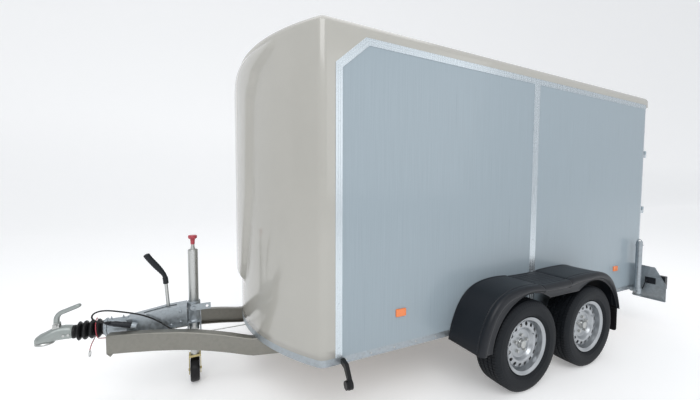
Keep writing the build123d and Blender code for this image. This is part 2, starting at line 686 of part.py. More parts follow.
for y in (jockey_y - fork_half - 5.0, jockey_y + fork_half):
    fork += block((-28.0, 28.0), (y, y + 5.0), (jockey_wheel_radius - 22.0, fork_top - 14.0))
axle_start = (0, jockey_y - fork_half - 9.0, jockey_wheel_radius)
axle_end = (0, jockey_y + fork_half + 9.0, jockey_wheel_radius)
fork += rod(axle_start, axle_end, 8.0)
fork += rod((0, jockey_y, fork_top), (0, jockey_y, fork_top + 14.0), 19.0)
save("jockey_fork", fork)
wheel_start = (0, jockey_y - jockey_wheel_width / 2, jockey_wheel_radius)
wheel_end = (0, jockey_y + jockey_wheel_width / 2, jockey_wheel_radius)
roller = rod(wheel_start, wheel_end, jockey_wheel_radius)
roller = fillet(roller.edges().filter_by(GeomType.CIRCLE), 10.0)
jockey_rim = rod(wheel_start, wheel_end, 46.0)
bore = rod(wheel_start, wheel_end, 8.0 + running_clearance)
save("jockey_wheel", roller - jockey_rim, jockey_rim - bore)

# Rear props: tubes in clamps beside the body, lowered by hand to stand on the ground
prop = tube((prop_x, prop_y, prop_bottom + 8.0), (prop_x, prop_y, prop_top), prop_radius, prop_radius - 4.0)
prop += rod((prop_x, prop_y, prop_bottom), (prop_x, prop_y, prop_bottom + 8.0), 36.0)
prop += rod((prop_x, prop_y, prop_top - 40.0), (prop_x, prop_y, prop_top - 30.0), prop_radius + 5.0)
prop += block((prop_x - 4, prop_x + 4), (prop_y - 34, prop_y + 34), (prop_top - 4.0, prop_top + 4.0))
prop -= rod((prop_x, prop_y, prop_bottom + 8.0), (prop_x, prop_y, prop_top - 8.0), prop_radius - 4.0)
save("prop_leg_left", prop)
save("prop_leg_right", other_side(prop))
clamp_z = (prop_clamp_bottom + 26.0, prop_clamp_bottom + 80.0)
clamp = rod((prop_x, prop_y, clamp_z[0]), (prop_x, prop_y, clamp_z[1]), prop_radius + 8.0)
clamp += block((half_width, prop_x), (prop_y - 18.0, prop_y + 18.0), (rail_bottom, clamp_z[1] - 8.0))
clamp -= rod((prop_x, prop_y, clamp_z[0]), (prop_x, prop_y, clamp_z[1]), prop_radius + running_clearance)
screw = rod((prop_x, prop_y - 60.0, 356.0), (prop_x, prop_y - prop_radius - 8.0, 356.0), 6.0)
screw += rod((prop_x - 30.0, prop_y - 56.0, 356.0), (prop_x + 30.0, prop_y - 56.0, 356.0), 5.0)
save("prop_clamps", *both(clamp), *both(screw))

# Doors: two leaves hung on the rear frame's posts, with straps, lock rod guides and lock rods
door_y = (frame_rear_y + door_seal_gap, frame_rear_y + door_seal_gap + door_thickness)
door_outer_x = pin_x - 15.0
rod_y = door_y[1] + lock_rod_radius + 2.0
panel = block((door_gap, door_outer_x), door_y, (door_bottom, door_top))
leaves = []
pins = []
for z in hinge_heights:
    upper = (z + 1.0, z + 1.0 + hinge_leaf)
    lower = (z - 1.0 - hinge_leaf, z - 1.0)
    strap = block((pin_x - 160.0, pin_x), (door_y[1], door_y[1] + 4.0), upper)
    strap += block((pin_x - 9.0, pin_x + 9.0), (door_y[1], pin_y), upper)
    strap += rod((pin_x, pin_y, upper[0]), (pin_x, pin_y, upper[1]), hinge_radius)
    leaves.append(strap - rod((pin_x, pin_y, upper[0]), (pin_x, pin_y, upper[1]), hinge_pin_radius + running_clearance))
    root = block((pin_x - 11.0, pin_x + 11.0), (frame_rear_y, pin_y), lower)
    root += rod((pin_x, pin_y, lower[0]), (pin_x, pin_y, lower[1]), hinge_radius)
    pins.append(root + rod((pin_x, pin_y, z - 3.0), (pin_x, pin_y, upper[1] + 3.0), hinge_pin_radius))
guides = []
for z in (door_bottom + 120.0, 1060.0, door_top - 150.0):
    guide = block((lock_rod_x - 18.0, lock_rod_x + 18.0), (door_y[1], rod_y + 14.0), (z, z + 40.0))
    guides.append(guide - rod((lock_rod_x, rod_y, z), (lock_rod_x, rod_y, z + 40.0), lock_rod_radius + running_clearance))
save("door_left", panel, *leaves, *guides)
save("door_right", *[other_side(piece) for piece in [panel, *leaves, *guides]])
save("rear_frame", *rear_frame, *both(keeper), *pins, *[other_side(pin) for pin in pins])

lock = rod((lock_rod_x, rod_y, door_bottom + 5.0), (lock_rod_x, rod_y, door_top + 8.0), lock_rod_radius)
lock += rod((lock_rod_x, rod_y, 1140.0), (lock_rod_x, rod_y, 1170.0), lock_rod_radius + 1.5)
lock += block((lock_rod_x, lock_rod_x + 160.0), (rod_y + 6.0, rod_y + 14.0), (1140.0, 1170.0))
lock += block((lock_rod_x - 6.0, lock_rod_x + 6.0), (rod_y - 18.0, rod_y), (door_top + 1.0, door_top + 8.0))
save("lock_rod_left", lock)
save("lock_rod_right", other_side(lock))

# Electrical plug parked in a cup on the housing's left side, and the gland that its lead ends in
plug_start = (70.0, housing_front_y - 100.0, 504.0)
plug_end = (72.0, housing_front_y + 30.0, 466.0)
plug_line = Vector(*plug_end) - Vector(*plug_start)
plug = rod(plug_start, plug_end, 16.0)
plug += rod(tuple(Vector(*plug_start) + plug_line * 0.62), plug_end, 18.0)
save("plug", plug)
cup = rod(plug_end, tuple(Vector(*plug_end) + plug_line * 0.22), 19.0)
gland = rod((120.0, beam_y[0] - 18.0, 399.0), (120.0, beam_y[0], 399.0), 9.0)
save("overrun_housing", housing, cup, gland)


def cord(points, radius):
    """Round cord along straight runs joined by tangent arcs as large as the runs allow."""
    places = [Vector(*point) for point in points]
    radii = []
    for before, here, after in zip(places, places[1:], places[2:]):
        turn = radians((here - before).get_angle(after - here))
        shorter = min((here - before).length, (after - here).length)
        radii.append(0.45 * shorter / tan(turn / 2))
    path = FilletPolyline(*points, radius=radii)
    section = Plane(origin=points[0], z_dir=places[1] - places[0]) * Circle(radius)
    piece = sweep(section, path=path)
    print("smallest arc", round(min(radii), 1), "length", round(path.length, 1),
          "volume ratio", round(piece.volume / (pi * radius ** 2 * path.length), 4))
    return piece


# Lead of the plug: forward out of the plug, over in a loop, then back beside the housing to its gland
save("plug_lead", cord([
    plug_start, (69.58, housing_front_y - 127.0, 511.89), (69.4, housing_front_y - 150.0, 524.0), (69.4, housing_front_y - 163.0, 547.0),
    (70.0, housing_front_y - 151.0, 569.0), (71.0, housing_front_y - 120.0, 578.0), (72.0, housing_front_y - 82.0, 575.0), (72.0, housing_front_y - 40.0, 563.0),
    (71.0, housing_front_y + 4.0, 549.0), (69.0, housing_front_y + 50.0, 533.0), (66.0, housing_front_y + 94.0, 512.0), (65.0, housing_front_y + 136.0, 486.0),
    (70.0, housing_front_y + 174.0, 460.0), (84.0, housing_front_y + 206.0, 437.0), (102.0, housing_front_y + 232.0, 421.0), (116.0, housing_front_y + 256.0, 408.0),
    (120.0, housing_front_y + 281.0, 399.0), (120.0, beam_y[0] - 18.0, 399.0),
], 4.5))

# Breakaway cable: from the housing's front, once round the bellows, down to its hook
cable = [(30.0, housing_front_y, 410.0), (30.0, housing_front_y - 30.0, 410.0), (25.0, housing_front_y - 64.0, 400.0), (14.0, housing_front_y - 104.0, 392.0)]
loop_radius = bellows_radius + 9.0
for i in range(9):
    angle = -pi / 2 + pi / 4 * i
    cable.append((loop_radius * cos(angle), housing_front_y - 138.0 - 4.0 * i, shaft_z + loop_radius * sin(angle)))
cable += [(28.0, housing_front_y - 178.0, 372.0), (40.0, housing_front_y - 182.0, 346.0)]
save("breakaway_cable", cord(cable, 2.5))
hook_place = Pos(40.0, housing_front_y - 182.0, 325.0) * Rot(90, 0, 0)
hook = hook_place * Torus(17.0, 2.5)
save("breakaway_hook", hook)
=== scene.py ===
"""Closed tandem-axle livestock trailer: the looks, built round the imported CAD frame.

Lengths are in metres in the frame's own axes: +X is the trailer's left side, the drawbar points to -Y,
+Z is up and the ground is z = 0.
"""

import bmesh
import bpy
import numpy as np
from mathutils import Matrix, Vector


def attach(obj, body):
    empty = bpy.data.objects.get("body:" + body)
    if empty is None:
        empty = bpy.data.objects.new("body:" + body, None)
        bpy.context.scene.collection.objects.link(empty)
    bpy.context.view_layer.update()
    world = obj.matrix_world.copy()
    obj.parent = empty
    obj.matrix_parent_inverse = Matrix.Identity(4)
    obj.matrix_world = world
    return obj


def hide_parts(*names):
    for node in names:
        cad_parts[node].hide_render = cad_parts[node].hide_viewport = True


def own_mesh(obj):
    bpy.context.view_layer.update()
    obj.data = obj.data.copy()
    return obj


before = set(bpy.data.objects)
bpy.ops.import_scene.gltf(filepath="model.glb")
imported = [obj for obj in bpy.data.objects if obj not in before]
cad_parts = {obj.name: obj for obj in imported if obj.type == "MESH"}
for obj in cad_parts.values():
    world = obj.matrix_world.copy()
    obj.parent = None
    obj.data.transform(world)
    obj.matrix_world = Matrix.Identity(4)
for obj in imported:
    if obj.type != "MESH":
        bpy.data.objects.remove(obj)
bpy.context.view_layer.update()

# Studio: a pale floor that curves up into a backdrop, one soft key light, a broad fill and a pale sky.
# The camera stands close to the trailer's front left corner, with a wide lens.
MM = 0.001
CAMERA_PLACE = (2.3308, -1.5296, 1.2860)
CAMERA_RIGHT = (0.43861, 0.89867, 0.00360)
CAMERA_UP = (-0.04616, 0.01853, 0.99876)
CAMERA_BACK = (0.89749, -0.43824, 0.04961)
LENS = 16.325
SHIFT = (-0.0030, 0.0075)


def smooth_step(a, b, x):
    """Cubic step: 0 below a, 1 above b, 3t^2 - 2t^3 between."""
    t = np.clip((np.asarray(x, float) - a) / (b - a), 0.0, 1.0)
    return t * t * (3.0 - 2.0 * t)


def node_tree(material):
    """The material's nodes and links, emptied and ready for a new shader."""
    material.use_nodes = True
    tree = material.node_tree
    tree.nodes.clear()
    return tree


def stage_material(name, colour, roughness):
    """A matt stage material with a very faint mottling, so that the floor isn't a flat colour."""
    material = bpy.data.materials.new(name)
    tree = node_tree(material)
    out = tree.nodes.new("ShaderNodeOutputMaterial")
    shader = tree.nodes.new("ShaderNodeBsdfPrincipled")
    noise = tree.nodes.new("ShaderNodeTexNoise")
    ramp = tree.nodes.new("ShaderNodeMixRGB")
    noise.inputs["Scale"].default_value = 1.3
    ramp.inputs["Color1"].default_value = (*[c * 0.97 for c in colour], 1)
    ramp.inputs["Color2"].default_value = (*colour, 1)
    shader.inputs["Roughness"].default_value = roughness
    shader.inputs["Emission Color"].default_value = (*colour, 1)
    shader.inputs["Emission Strength"].default_value = 0.28
    tree.links.new(noise.outputs["Fac"], ramp.inputs["Fac"])
    tree.links.new(ramp.outputs["Color"], shader.inputs["Base Color"])
    tree.links.new(shader.outputs["BSDF"], out.inputs["Surface"])
    return material


def grid_quads(rows, columns, wrap_rows=False, wrap_columns=False):
    """Corner numbers of the quads of a grid of points, as an array with four columns."""
    r = np.arange(rows if wrap_rows else rows - 1)
    c = np.arange(columns if wrap_columns else columns - 1)
    r, c = np.meshgrid(r, c, indexing="ij")
    r2 = (r + 1) % rows
    c2 = (c + 1) % columns
    quads = np.stack([r * columns + c, r * columns + c2, r2 * columns + c2, r2 * columns + c], axis=-1)
    return quads.reshape(-1, 4)


def make_piece(name, points, faces, material, smooth=True):
    """A mesh object at the origin from an (n, 3) array of points and a list of faces."""
    mesh = bpy.data.meshes.new(name)
    mesh.from_pydata(np.asarray(points, float).reshape(-1, 3).tolist(), [], [list(map(int, f)) for f in faces])
    mesh.polygons.foreach_set("use_smooth", np.full(len(mesh.polygons), smooth))
    mesh.materials.append(material)
    mesh.update()
    piece = bpy.data.objects.new(name, mesh)
    bpy.context.collection.objects.link(piece)
    return piece


FLOOR_COLOUR = (0.88, 0.88, 0.88)
floor_y = np.linspace(-60.0, 180.0, 41)
sweep_x = np.concatenate([np.linspace(16.0, -9.0, 20), -9.0 - 4.0 * np.sin(np.linspace(0.1, np.pi / 2, 14))])
sweep_z = np.concatenate([np.zeros(20), 4.0 - 4.0 * np.cos(np.linspace(0.1, np.pi / 2, 14))])
sweep_x = np.append(sweep_x, -13.0)
sweep_z = np.append(sweep_z, 30.0)
gx, gy = np.meshgrid(sweep_x, floor_y, indexing="ij")
gz = np.repeat(sweep_z[:, None], len(floor_y), axis=1)
studio_floor = make_piece("studio_floor", np.stack([gx, gy, gz], -1), grid_quads(len(sweep_x), len(floor_y)),
                          stage_material("studio_paper", FLOOR_COLOUR, 0.9))

world = bpy.data.worlds.new("soft_sky")
bpy.context.scene.world = world
world.use_nodes = True
world.node_tree.nodes["Background"].inputs["Color"].default_value = (0.93, 0.96, 1.0, 1)
world.node_tree.nodes["Background"].inputs["Strength"].default_value = 0.62


def soft_light(name, place, target, size, power, colour=(1, 1, 1)):
    """A rectangular area light at place that faces target."""
    data = bpy.data.lights.new(name, "AREA")
    data.shape = "RECTANGLE"
    data.size, data.size_y = size
    data.energy = power
    data.color = colour
    lamp = bpy.data.objects.new(name, data)
    bpy.context.collection.objects.link(lamp)
    lamp.location = place
    direction = Vector(target) - Vector(place)
    lamp.rotation_mode = "QUATERNION"
    lamp.rotation_quaternion = direction.to_track_quat("-Z", "Y")
    return lamp


soft_light("key_light", (5.5, -3.0, 6.5), (0.5, 0.4, 0.8), (5.0, 5.0), 250)
soft_light("side_fill", (7.0, 3.5, 3.0), (0.8, 0.8, 1.0), (5.0, 4.0), 55)
soft_light("top_light", (0.0, 0.0, 8.0), (0.0, 0.0, 0.0), (6.0, 8.0), 120)

bpy.context.scene.view_settings.view_transform = "Standard"
camera_data = bpy.data.cameras.new("camera")
camera_data.sensor_width = 36.0
camera_data.lens = LENS
camera_data.shift_x, camera_data.shift_y = SHIFT
camera_data.clip_start = 0.02
camera_data.clip_end = 100.0
camera = bpy.data.objects.new("camera", camera_data)
bpy.context.collection.objects.link(camera)
axes = Matrix((CAMERA_RIGHT, CAMERA_UP, CAMERA_BACK)).transposed()
camera.matrix_world = Matrix.Translation(CAMERA_PLACE) @ axes.to_4x4()
bpy.context.scene.camera = camera


def effect_group(name, inputs, outputs):
    """An empty shader node group with named sockets: inputs are (name, kind, value), outputs (name, kind)."""
    group = bpy.data.node_groups.new(name, "ShaderNodeTree")
    for label, kind, value in inputs:
        group.interface.new_socket(label, in_out="INPUT", socket_type=kind).default_value = value
    for label, kind in outputs:
        group.interface.new_socket(label, in_out="OUTPUT", socket_type=kind)
    return group, group.nodes.new("NodeGroupInput"), group.nodes.new("NodeGroupOutput")


def object_noise(group, stretch_socket, scale, detail, roughness=0.55):
    """Noise on Object coordinates multiplied by a stretch, in a group."""
    place = group.nodes.new("ShaderNodeTexCoord")
    stretch = group.nodes.new("ShaderNodeVectorMath")
    noise = group.nodes.new("ShaderNodeTexNoise")
    stretch.operation = "MULTIPLY"
    group.links.new(place.outputs["Object"], stretch.inputs[0])
    if stretch_socket is None:
        stretch.inputs[1].default_value = (1, 1, 1)
    else:
        group.links.new(stretch_socket, stretch.inputs[1])
    noise.inputs["Scale"].default_value = scale
    noise.inputs["Detail"].default_value = detail
    noise.inputs["Roughness"].default_value = roughness
    group.links.new(stretch.outputs["Vector"], noise.inputs["Vector"])
    return noise


def mix_colour(group, factor, first, second, blend="MIX"):
    """A colour mix node whose three inputs are sockets or plain values."""
    node = group.nodes.new("ShaderNodeMixRGB")
    node.blend_type = blend
    for socket, value in zip(node.inputs, (factor, first, second)):
        if hasattr(value, "is_linked"):
            group.links.new(value, socket)
        elif np.ndim(value):
            socket.default_value = (*value, 1)
        else:
            socket.default_value = value
    return node.outputs["Color"]


def arithmetic(group, operation, first, second, clamp=False):
    """A math node whose inputs are sockets or numbers."""
    node = group.nodes.new("ShaderNodeMath")
    node.operation = operation
    node.use_clamp = clamp
    for socket, value in zip(node.inputs, (first, second)):
        if hasattr(value, "is_linked"):
            group.links.new(value, socket)
        else:
            socket.default_value = value
    return node.outputs["Value"]


# Grain: noise stretched along one direction, for moulded skins, brushed metal and plain textures
FLOAT, COLOUR, VECTOR = "NodeSocketFloat", "NodeSocketColor", "NodeSocketVector"
grain, entry, result = effect_group(
    "surface_grain",
    [("Colour", COLOUR, (0.5, 0.5, 0.5, 1)), ("Roughness", FLOAT, 0.4), ("Stretch", VECTOR, (1, 1, 1)),
     ("Tint", FLOAT, 0.1), ("Rough Swing", FLOAT, 0.1)],
    [("Colour", COLOUR), ("Roughness", FLOAT), ("Height", FLOAT)])
noise = object_noise(grain, entry.outputs["Stretch"], 1.0, 4.0)
centred = arithmetic(grain, "SUBTRACT", noise.outputs["Fac"], 0.5)
shade = arithmetic(grain, "MULTIPLY_ADD", centred, entry.outputs["Tint"])
shade.node.inputs[2].default_value = 1.0
tinted = grain.nodes.new("ShaderNodeVectorMath")
tinted.operation = "SCALE"
grain.links.new(entry.outputs["Colour"], tinted.inputs[0])
grain.links.new(shade, tinted.inputs["Scale"])
grain.links.new(tinted.outputs["Vector"], result.inputs["Colour"])
swing = arithmetic(grain, "MULTIPLY", centred, entry.outputs["Rough Swing"])
grain.links.new(arithmetic(grain, "ADD", entry.outputs["Roughness"], swing), result.inputs["Roughness"])
grain.links.new(noise.outputs["Fac"], result.inputs["Height"])

# Spangle: the crystal pattern of hot-dip galvanising, small facets that each reflect a little differently
spangle, entry, result = effect_group(
    "zinc_spangle",
    [("Colour", COLOUR, (0.6, 0.6, 0.6, 1)), ("Roughness", FLOAT, 0.4), ("Scale", FLOAT, 70.0),
     ("Contrast", FLOAT, 0.35)],
    [("Colour", COLOUR), ("Roughness", FLOAT), ("Height", FLOAT)])
place = spangle.nodes.new("ShaderNodeTexCoord")
facets = spangle.nodes.new("ShaderNodeTexVoronoi")
facets.inputs["Randomness"].default_value = 1.0
spangle.links.new(place.outputs["Object"], facets.inputs["Vector"])
spangle.links.new(entry.outputs["Scale"], facets.inputs["Scale"])
facet_value = spangle.nodes.new("ShaderNodeSeparateColor")
spangle.links.new(facets.outputs["Color"], facet_value.inputs["Color"])
blotch = object_noise(spangle, None, 5.0, 5.0)
mixed = arithmetic(spangle, "ADD", arithmetic(spangle, "MULTIPLY", facet_value.outputs["Red"], 0.6),
                   arithmetic(spangle, "MULTIPLY", blotch.outputs["Fac"], 0.8))
centred = arithmetic(spangle, "SUBTRACT", mixed, 0.7)
shade = arithmetic(spangle, "MULTIPLY_ADD", centred, entry.outputs["Contrast"])
shade.node.inputs[2].default_value = 1.0
tinted = spangle.nodes.new("ShaderNodeVectorMath")
tinted.operation = "SCALE"
spangle.links.new(entry.outputs["Colour"], tinted.inputs[0])
spangle.links.new(shade, tinted.inputs["Scale"])
spangle.links.new(tinted.outputs["Vector"], result.inputs["Colour"])
spangle.links.new(arithmetic(spangle, "MULTIPLY_ADD", centred, 0.3), result.inputs["Roughness"])
result.inputs["Roughness"].links[0].from_node.inputs[2].default_value = 0.4
spangle.links.new(facet_value.outputs["Green"], result.inputs["Height"])

# Grime: road dust that thins out upwards and gathers in patches
grime, entry, result = effect_group(
    "road_grime",
    [("Colour", COLOUR, (0.5, 0.5, 0.5, 1)), ("Roughness", FLOAT, 0.4), ("Amount", FLOAT, 0.3),
     ("Reach", FLOAT, 0.7)],
    [("Colour", COLOUR), ("Roughness", FLOAT)])
GRIME_COLOUR = (0.30, 0.28, 0.25)
place = grime.nodes.new("ShaderNodeTexCoord")
split = grime.nodes.new("ShaderNodeSeparateXYZ")
grime.links.new(place.outputs["Object"], split.inputs[0])
height = arithmetic(grime, "DIVIDE", split.outputs["Z"], entry.outputs["Reach"])
low = arithmetic(grime, "SUBTRACT", 1.0, height, clamp=True)
patches = object_noise(grime, None, 9.0, 7.0, 0.65)
spread = arithmetic(grime, "MULTIPLY", arithmetic(grime, "SUBTRACT", patches.outputs["Fac"], 0.28), 2.2)
mask = arithmetic(grime, "MULTIPLY", arithmetic(grime, "MULTIPLY", low, spread), entry.outputs["Amount"], clamp=True)
grime.links.new(mix_colour(grime, mask, entry.outputs["Colour"], GRIME_COLOUR), result.inputs["Colour"])
grime.links.new(arithmetic(grime, "MULTIPLY_ADD", mask, 0.35), result.inputs["Roughness"])
grime.links.new(entry.outputs["Roughness"], result.inputs["Roughness"].links[0].from_node.inputs[2])


def finish_material(name, colour, roughness, metal=0.0, coat=0.0, stretch=(60, 60, 60), tint=0.06, swing=0.08,
                    bump=0.1, depth=0.0004, spangled=0.0, dust=0.25, reach=0.7, contrast=0.35,
                    specular=0.5):
    """A finished surface: grain or spangle, then grime, into one Principled shader with a fine bump."""
    material = bpy.data.materials.new(name)
    tree = node_tree(material)
    out = tree.nodes.new("ShaderNodeOutputMaterial")
    shader = tree.nodes.new("ShaderNodeBsdfPrincipled")
    base = tree.nodes.new("ShaderNodeGroup")
    base.node_tree = spangle if spangled else grain
    base.inputs["Colour"].default_value = (*colour, 1)
    base.inputs["Roughness"].default_value = roughness
    if spangled:
        base.inputs["Scale"].default_value = spangled
        base.inputs["Contrast"].default_value = contrast
    else:
        base.inputs["Stretch"].default_value = stretch
        base.inputs["Tint"].default_value = tint
        base.inputs["Rough Swing"].default_value = swing
    dirt = tree.nodes.new("ShaderNodeGroup")
    dirt.node_tree = grime
    dirt.inputs["Amount"].default_value = dust
    dirt.inputs["Reach"].default_value = reach
    lift = tree.nodes.new("ShaderNodeBump")
    lift.inputs["Strength"].default_value = bump
    lift.inputs["Distance"].default_value = depth
    shader.inputs["Metallic"].default_value = metal
    shader.inputs["Specular IOR Level"].default_value = specular
    shader.inputs["Coat Weight"].default_value = coat
    shader.inputs["Coat Roughness"].default_value = 0.06
    tree.links.new(base.outputs["Colour"], dirt.inputs["Colour"])
    tree.links.new(base.outputs["Roughness"], dirt.inputs["Roughness"])
    tree.links.new(dirt.outputs["Colour"], shader.inputs["Base Color"])
    tree.links.new(dirt.outputs["Roughness"], shader.inputs["Roughness"])
    tree.links.new(base.outputs["Height"], lift.inputs["Height"])
    tree.links.new(lift.outputs["Normal"], shader.inputs["Normal"])
    tree.links.new(shader.outputs["BSDF"], out.inputs["Surface"])
    return material


def paint_node(name, material):
    """Give a CAD node, whose shape is kept, its finish."""
    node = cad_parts[name]
    for slot in node.material_slots:
        slot.material = material
    return node


# Cords: the lead of the lighting plug and the red breakaway cable. Both are flexible, so their lines are
# smooth splines on the same route as in the part, and both are made first with the shape helpers they need.
rubber = finish_material("rubber", (0.005, 0.005, 0.006), 0.42, stretch=(300, 300, 300), tint=0.2, swing=0.15,
                         bump=0.2, dust=0.02, specular=0.3)
red_plastic = finish_material("red_plastic", (0.40, 0.03, 0.05), 0.32, coat=0.4, stretch=(200, 200, 200), dust=0.05)
def cord_curve(name, route, diameter, material):
    """A round cord: a NURBS spline of order 3 through the control points of the route, given in millimetres."""
    curve = bpy.data.curves.new(name, "CURVE")
    curve.dimensions = "3D"
    curve.bevel_depth = diameter / 2
    curve.bevel_resolution = 4
    curve.resolution_u = 10
    curve.use_fill_caps = True
    spline = curve.splines.new("NURBS")
    spline.points.add(len(route) - 1)
    route = np.asarray(route, float) * MM
    spline.points.foreach_set("co", np.column_stack([route, np.ones(len(route))]).ravel())
    spline.order_u = 3
    spline.use_endpoint_u = True
    curve.materials.append(material)
    piece = bpy.data.objects.new(name, curve)
    bpy.context.collection.objects.link(piece)
    return piece


HOUSING_Y = -1926.0      # front of the overrun housing
SHAFT_Z = 455.0
LEAD_DIAMETER = 0.009
CABLE_DIAMETER = 0.005
lead_route = [
    (70.0, -2026.0, 504.0), (69.58, -2053.0, 511.89), (69.4, -2076.0, 524.0), (69.4, -2089.0, 547.0),
    (70.0, -2077.0, 569.0), (71.0, -2046.0, 578.0), (72.0, -2008.0, 575.0), (72.0, -1966.0, 563.0),
    (71.0, -1922.0, 549.0), (69.0, -1876.0, 533.0), (66.0, -1832.0, 512.0), (65.0, -1790.0, 486.0),
    (70.0, -1752.0, 460.0), (84.0, -1720.0, 437.0), (102.0, -1694.0, 421.0), (116.0, -1670.0, 408.0),
    (120.0, -1645.0, 399.0), (120.0, -1618.0, 399.0),
]
cable_route = [(30.0, -1926.0, 410.0), (30.0, -1956.0, 410.0), (25.0, -1990.0, 400.0), (14.0, -2030.0, 392.0)]
for i in range(9):
    angle = -np.pi / 2 + np.pi / 4 * i
    cable_route.append((64.0 * np.cos(angle), -2064.0 - 4.0 * i, SHAFT_Z + 64.0 * np.sin(angle)))
cable_route += [(28.0, -2104.0, 372.0), (40.0, -2108.0, 346.0)]
plug_lead = cord_curve("lighting_lead", lead_route, LEAD_DIAMETER, rubber)
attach(plug_lead, "chassis")
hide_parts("plug_lead")
breakaway_cable = cord_curve("breakaway_line", cable_route, CABLE_DIAMETER, red_plastic)
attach(breakaway_cable, "chassis")
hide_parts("breakaway_cable")


def merge_parts(*parts):
    """Several surfaces as one: their points are stacked, and their face numbers moved on to match."""
    points, faces, start = [], [], 0
    for part_points, part_faces in parts:
        part_points = np.asarray(part_points, float).reshape(-1, 3)
        points.append(part_points)
        faces += [[int(i) + start for i in face] for face in part_faces]
        start += len(part_points)
    return np.concatenate(points), faces


def outward(points, faces):
    """A closed surface with its faces turned out. The solid angles' triple products, summed over the triangles of
    every face, give six times the volume, and where that is negative each face is read backwards."""
    points = np.asarray(points, float).reshape(-1, 3)
    triangles = np.array([(f[0], f[i], f[i + 1]) for f in faces for i in range(1, len(f) - 1)])
    a, b, c = (points[triangles[:, i]] for i in range(3))
    if np.einsum("ij,ij->", a, np.cross(b, c)) < 0:
        faces = [list(f)[::-1] for f in faces]
    return points, [list(f) for f in faces]


AXIS_ORDER = {"x": (0, 1, 2), "y": (2, 0, 1), "z": (1, 2, 0)}


def turned(profile, sides, centre, axis, closed=False, wobble=None):
    """A profile of (along, radius) turned about an axis: across = radius cos a and radius sin a at equal angles.
    wobble(along, angle) is added to the radius. Open ends get flat caps unless the profile is closed."""
    profile = np.asarray(profile, float)
    angle = np.linspace(0.0, 2 * np.pi, sides, endpoint=False)
    along = np.repeat(profile[:, :1], sides, 1)
    radius = np.repeat(profile[:, 1:], sides, 1)
    if wobble is not None:
        radius = radius + wobble(along, angle[None, :])
    parts = (along, radius * np.cos(angle), radius * np.sin(angle))
    points = np.stack([parts[i] for i in AXIS_ORDER[axis]], -1) + np.asarray(centre, float)
    rows = len(profile)
    faces = list(grid_quads(rows, sides, wrap_rows=closed, wrap_columns=True))
    if not closed:
        faces += ring_caps(rows, sides)
    return outward(points, faces)


def ring_caps(rows, sides):
    """The two flat end faces of a grid of rings, read so that they agree with its quads."""
    return [np.arange(sides)[::-1], np.arange(sides) + (rows - 1) * sides]


def swept(path, section, scales=None, caps=True):
    """A closed section carried along a path. Its plane stays square to the path, and each station's axes are the
    last station's, turned by the least angle. scales gives each station's size across and up."""
    path = np.asarray(path, float)
    section = np.asarray(section, float)
    tangent = np.gradient(path, axis=0)
    tangent /= np.linalg.norm(tangent, axis=1)[:, None]
    across = np.cross(tangent[0], (0.0, 0.0, 1.0))
    if np.linalg.norm(across) < 0.1:
        across = np.cross(tangent[0], (0.0, 1.0, 0.0))
    frames = []
    for direction in tangent:
        across = across - direction * (across @ direction)
        across /= np.linalg.norm(across)
        frames.append((across, np.cross(across, direction)))
    frames = np.array(frames)
    scales = np.ones((len(path), 2)) if scales is None else np.asarray(scales, float)
    points = (path[:, None] + section[None, :, :1] * scales[:, None, :1] * frames[:, None, 0]
              + section[None, :, 1:] * scales[:, None, 1:] * frames[:, None, 1])
    rows, sides = len(path), len(section)
    faces = list(grid_quads(rows, sides, wrap_columns=True))
    if caps:
        faces += ring_caps(rows, sides)
    return outward(points, faces)


def circle(radius, sides):
    """Points round a circle."""
    angle = np.linspace(0.0, 2 * np.pi, sides, endpoint=False)
    return np.column_stack([radius * np.cos(angle), radius * np.sin(angle)])


def prism(outline, span, axis):
    """An outline of (second, third) coordinates carried along an axis between two values, with flat ends."""
    outline = np.asarray(outline, float)
    sides = len(outline)
    order = {"x": (2, 0, 1), "y": (0, 2, 1), "z": (0, 1, 2)}[axis]
    rings = [np.column_stack([outline, np.full(sides, value)])[:, order] for value in span]
    faces = list(grid_quads(2, sides, wrap_columns=True))
    return outward(np.concatenate(rings), faces + ring_caps(2, sides))


def box_part(x, y, z):
    """A box between three pairs of coordinates, as a prism."""
    return prism([(x[0], y[0]), (x[1], y[0]), (x[1], y[1]), (x[0], y[1])], z, "z")


def mirrored(part):
    """A surface on the other side: x changes sign, and each face is read backwards."""
    points, faces = part
    return np.asarray(points) * (-1, 1, 1), [list(f)[::-1] for f in faces]


def smooth_path(corners, count):
    """A Catmull-Rom curve through the corners at equal steps: each span blends its ends and their slopes."""
    corners = np.asarray(corners, float)
    ends = np.concatenate([[2 * corners[0] - corners[1]], corners, [2 * corners[-1] - corners[-2]]])
    t = np.linspace(0.0, len(corners) - 1.0, count)
    span = np.minimum(t.astype(int), len(corners) - 2)
    f = (t - span)[:, None]
    p0, p1, p2, p3 = (ends[span + i] for i in range(4))
    return 0.5 * (2 * p1 + (p2 - p0) * f + (2 * p0 - 5 * p1 + 4 * p2 - p3) * f ** 2 + (3 * p1 - p0 - 3 * p2 + p3) * f ** 3)


def add_piece(name, parts, material, body, nodes=(), crease=35.0, bevel=0.0):
    """A piece from one or more surfaces in millimetres: smooth but for its creases, rounded by a bevel if asked,
    riding on its body and standing for its CAD nodes."""
    points, faces = merge_parts(*parts)
    piece = make_piece(name, points * MM, faces, material)
    piece.data.set_sharp_from_angle(angle=np.radians(crease))
    if bevel:
        rounding = piece.modifiers.new("edges", "BEVEL")
        rounding.width = bevel * MM
        rounding.segments = 2
        rounding.limit_method = "ANGLE"
        rounding.angle_limit = np.radians(crease)
        rounding.harden_normals = False
    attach(piece, body)
    if nodes:
        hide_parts(*nodes)
    return piece


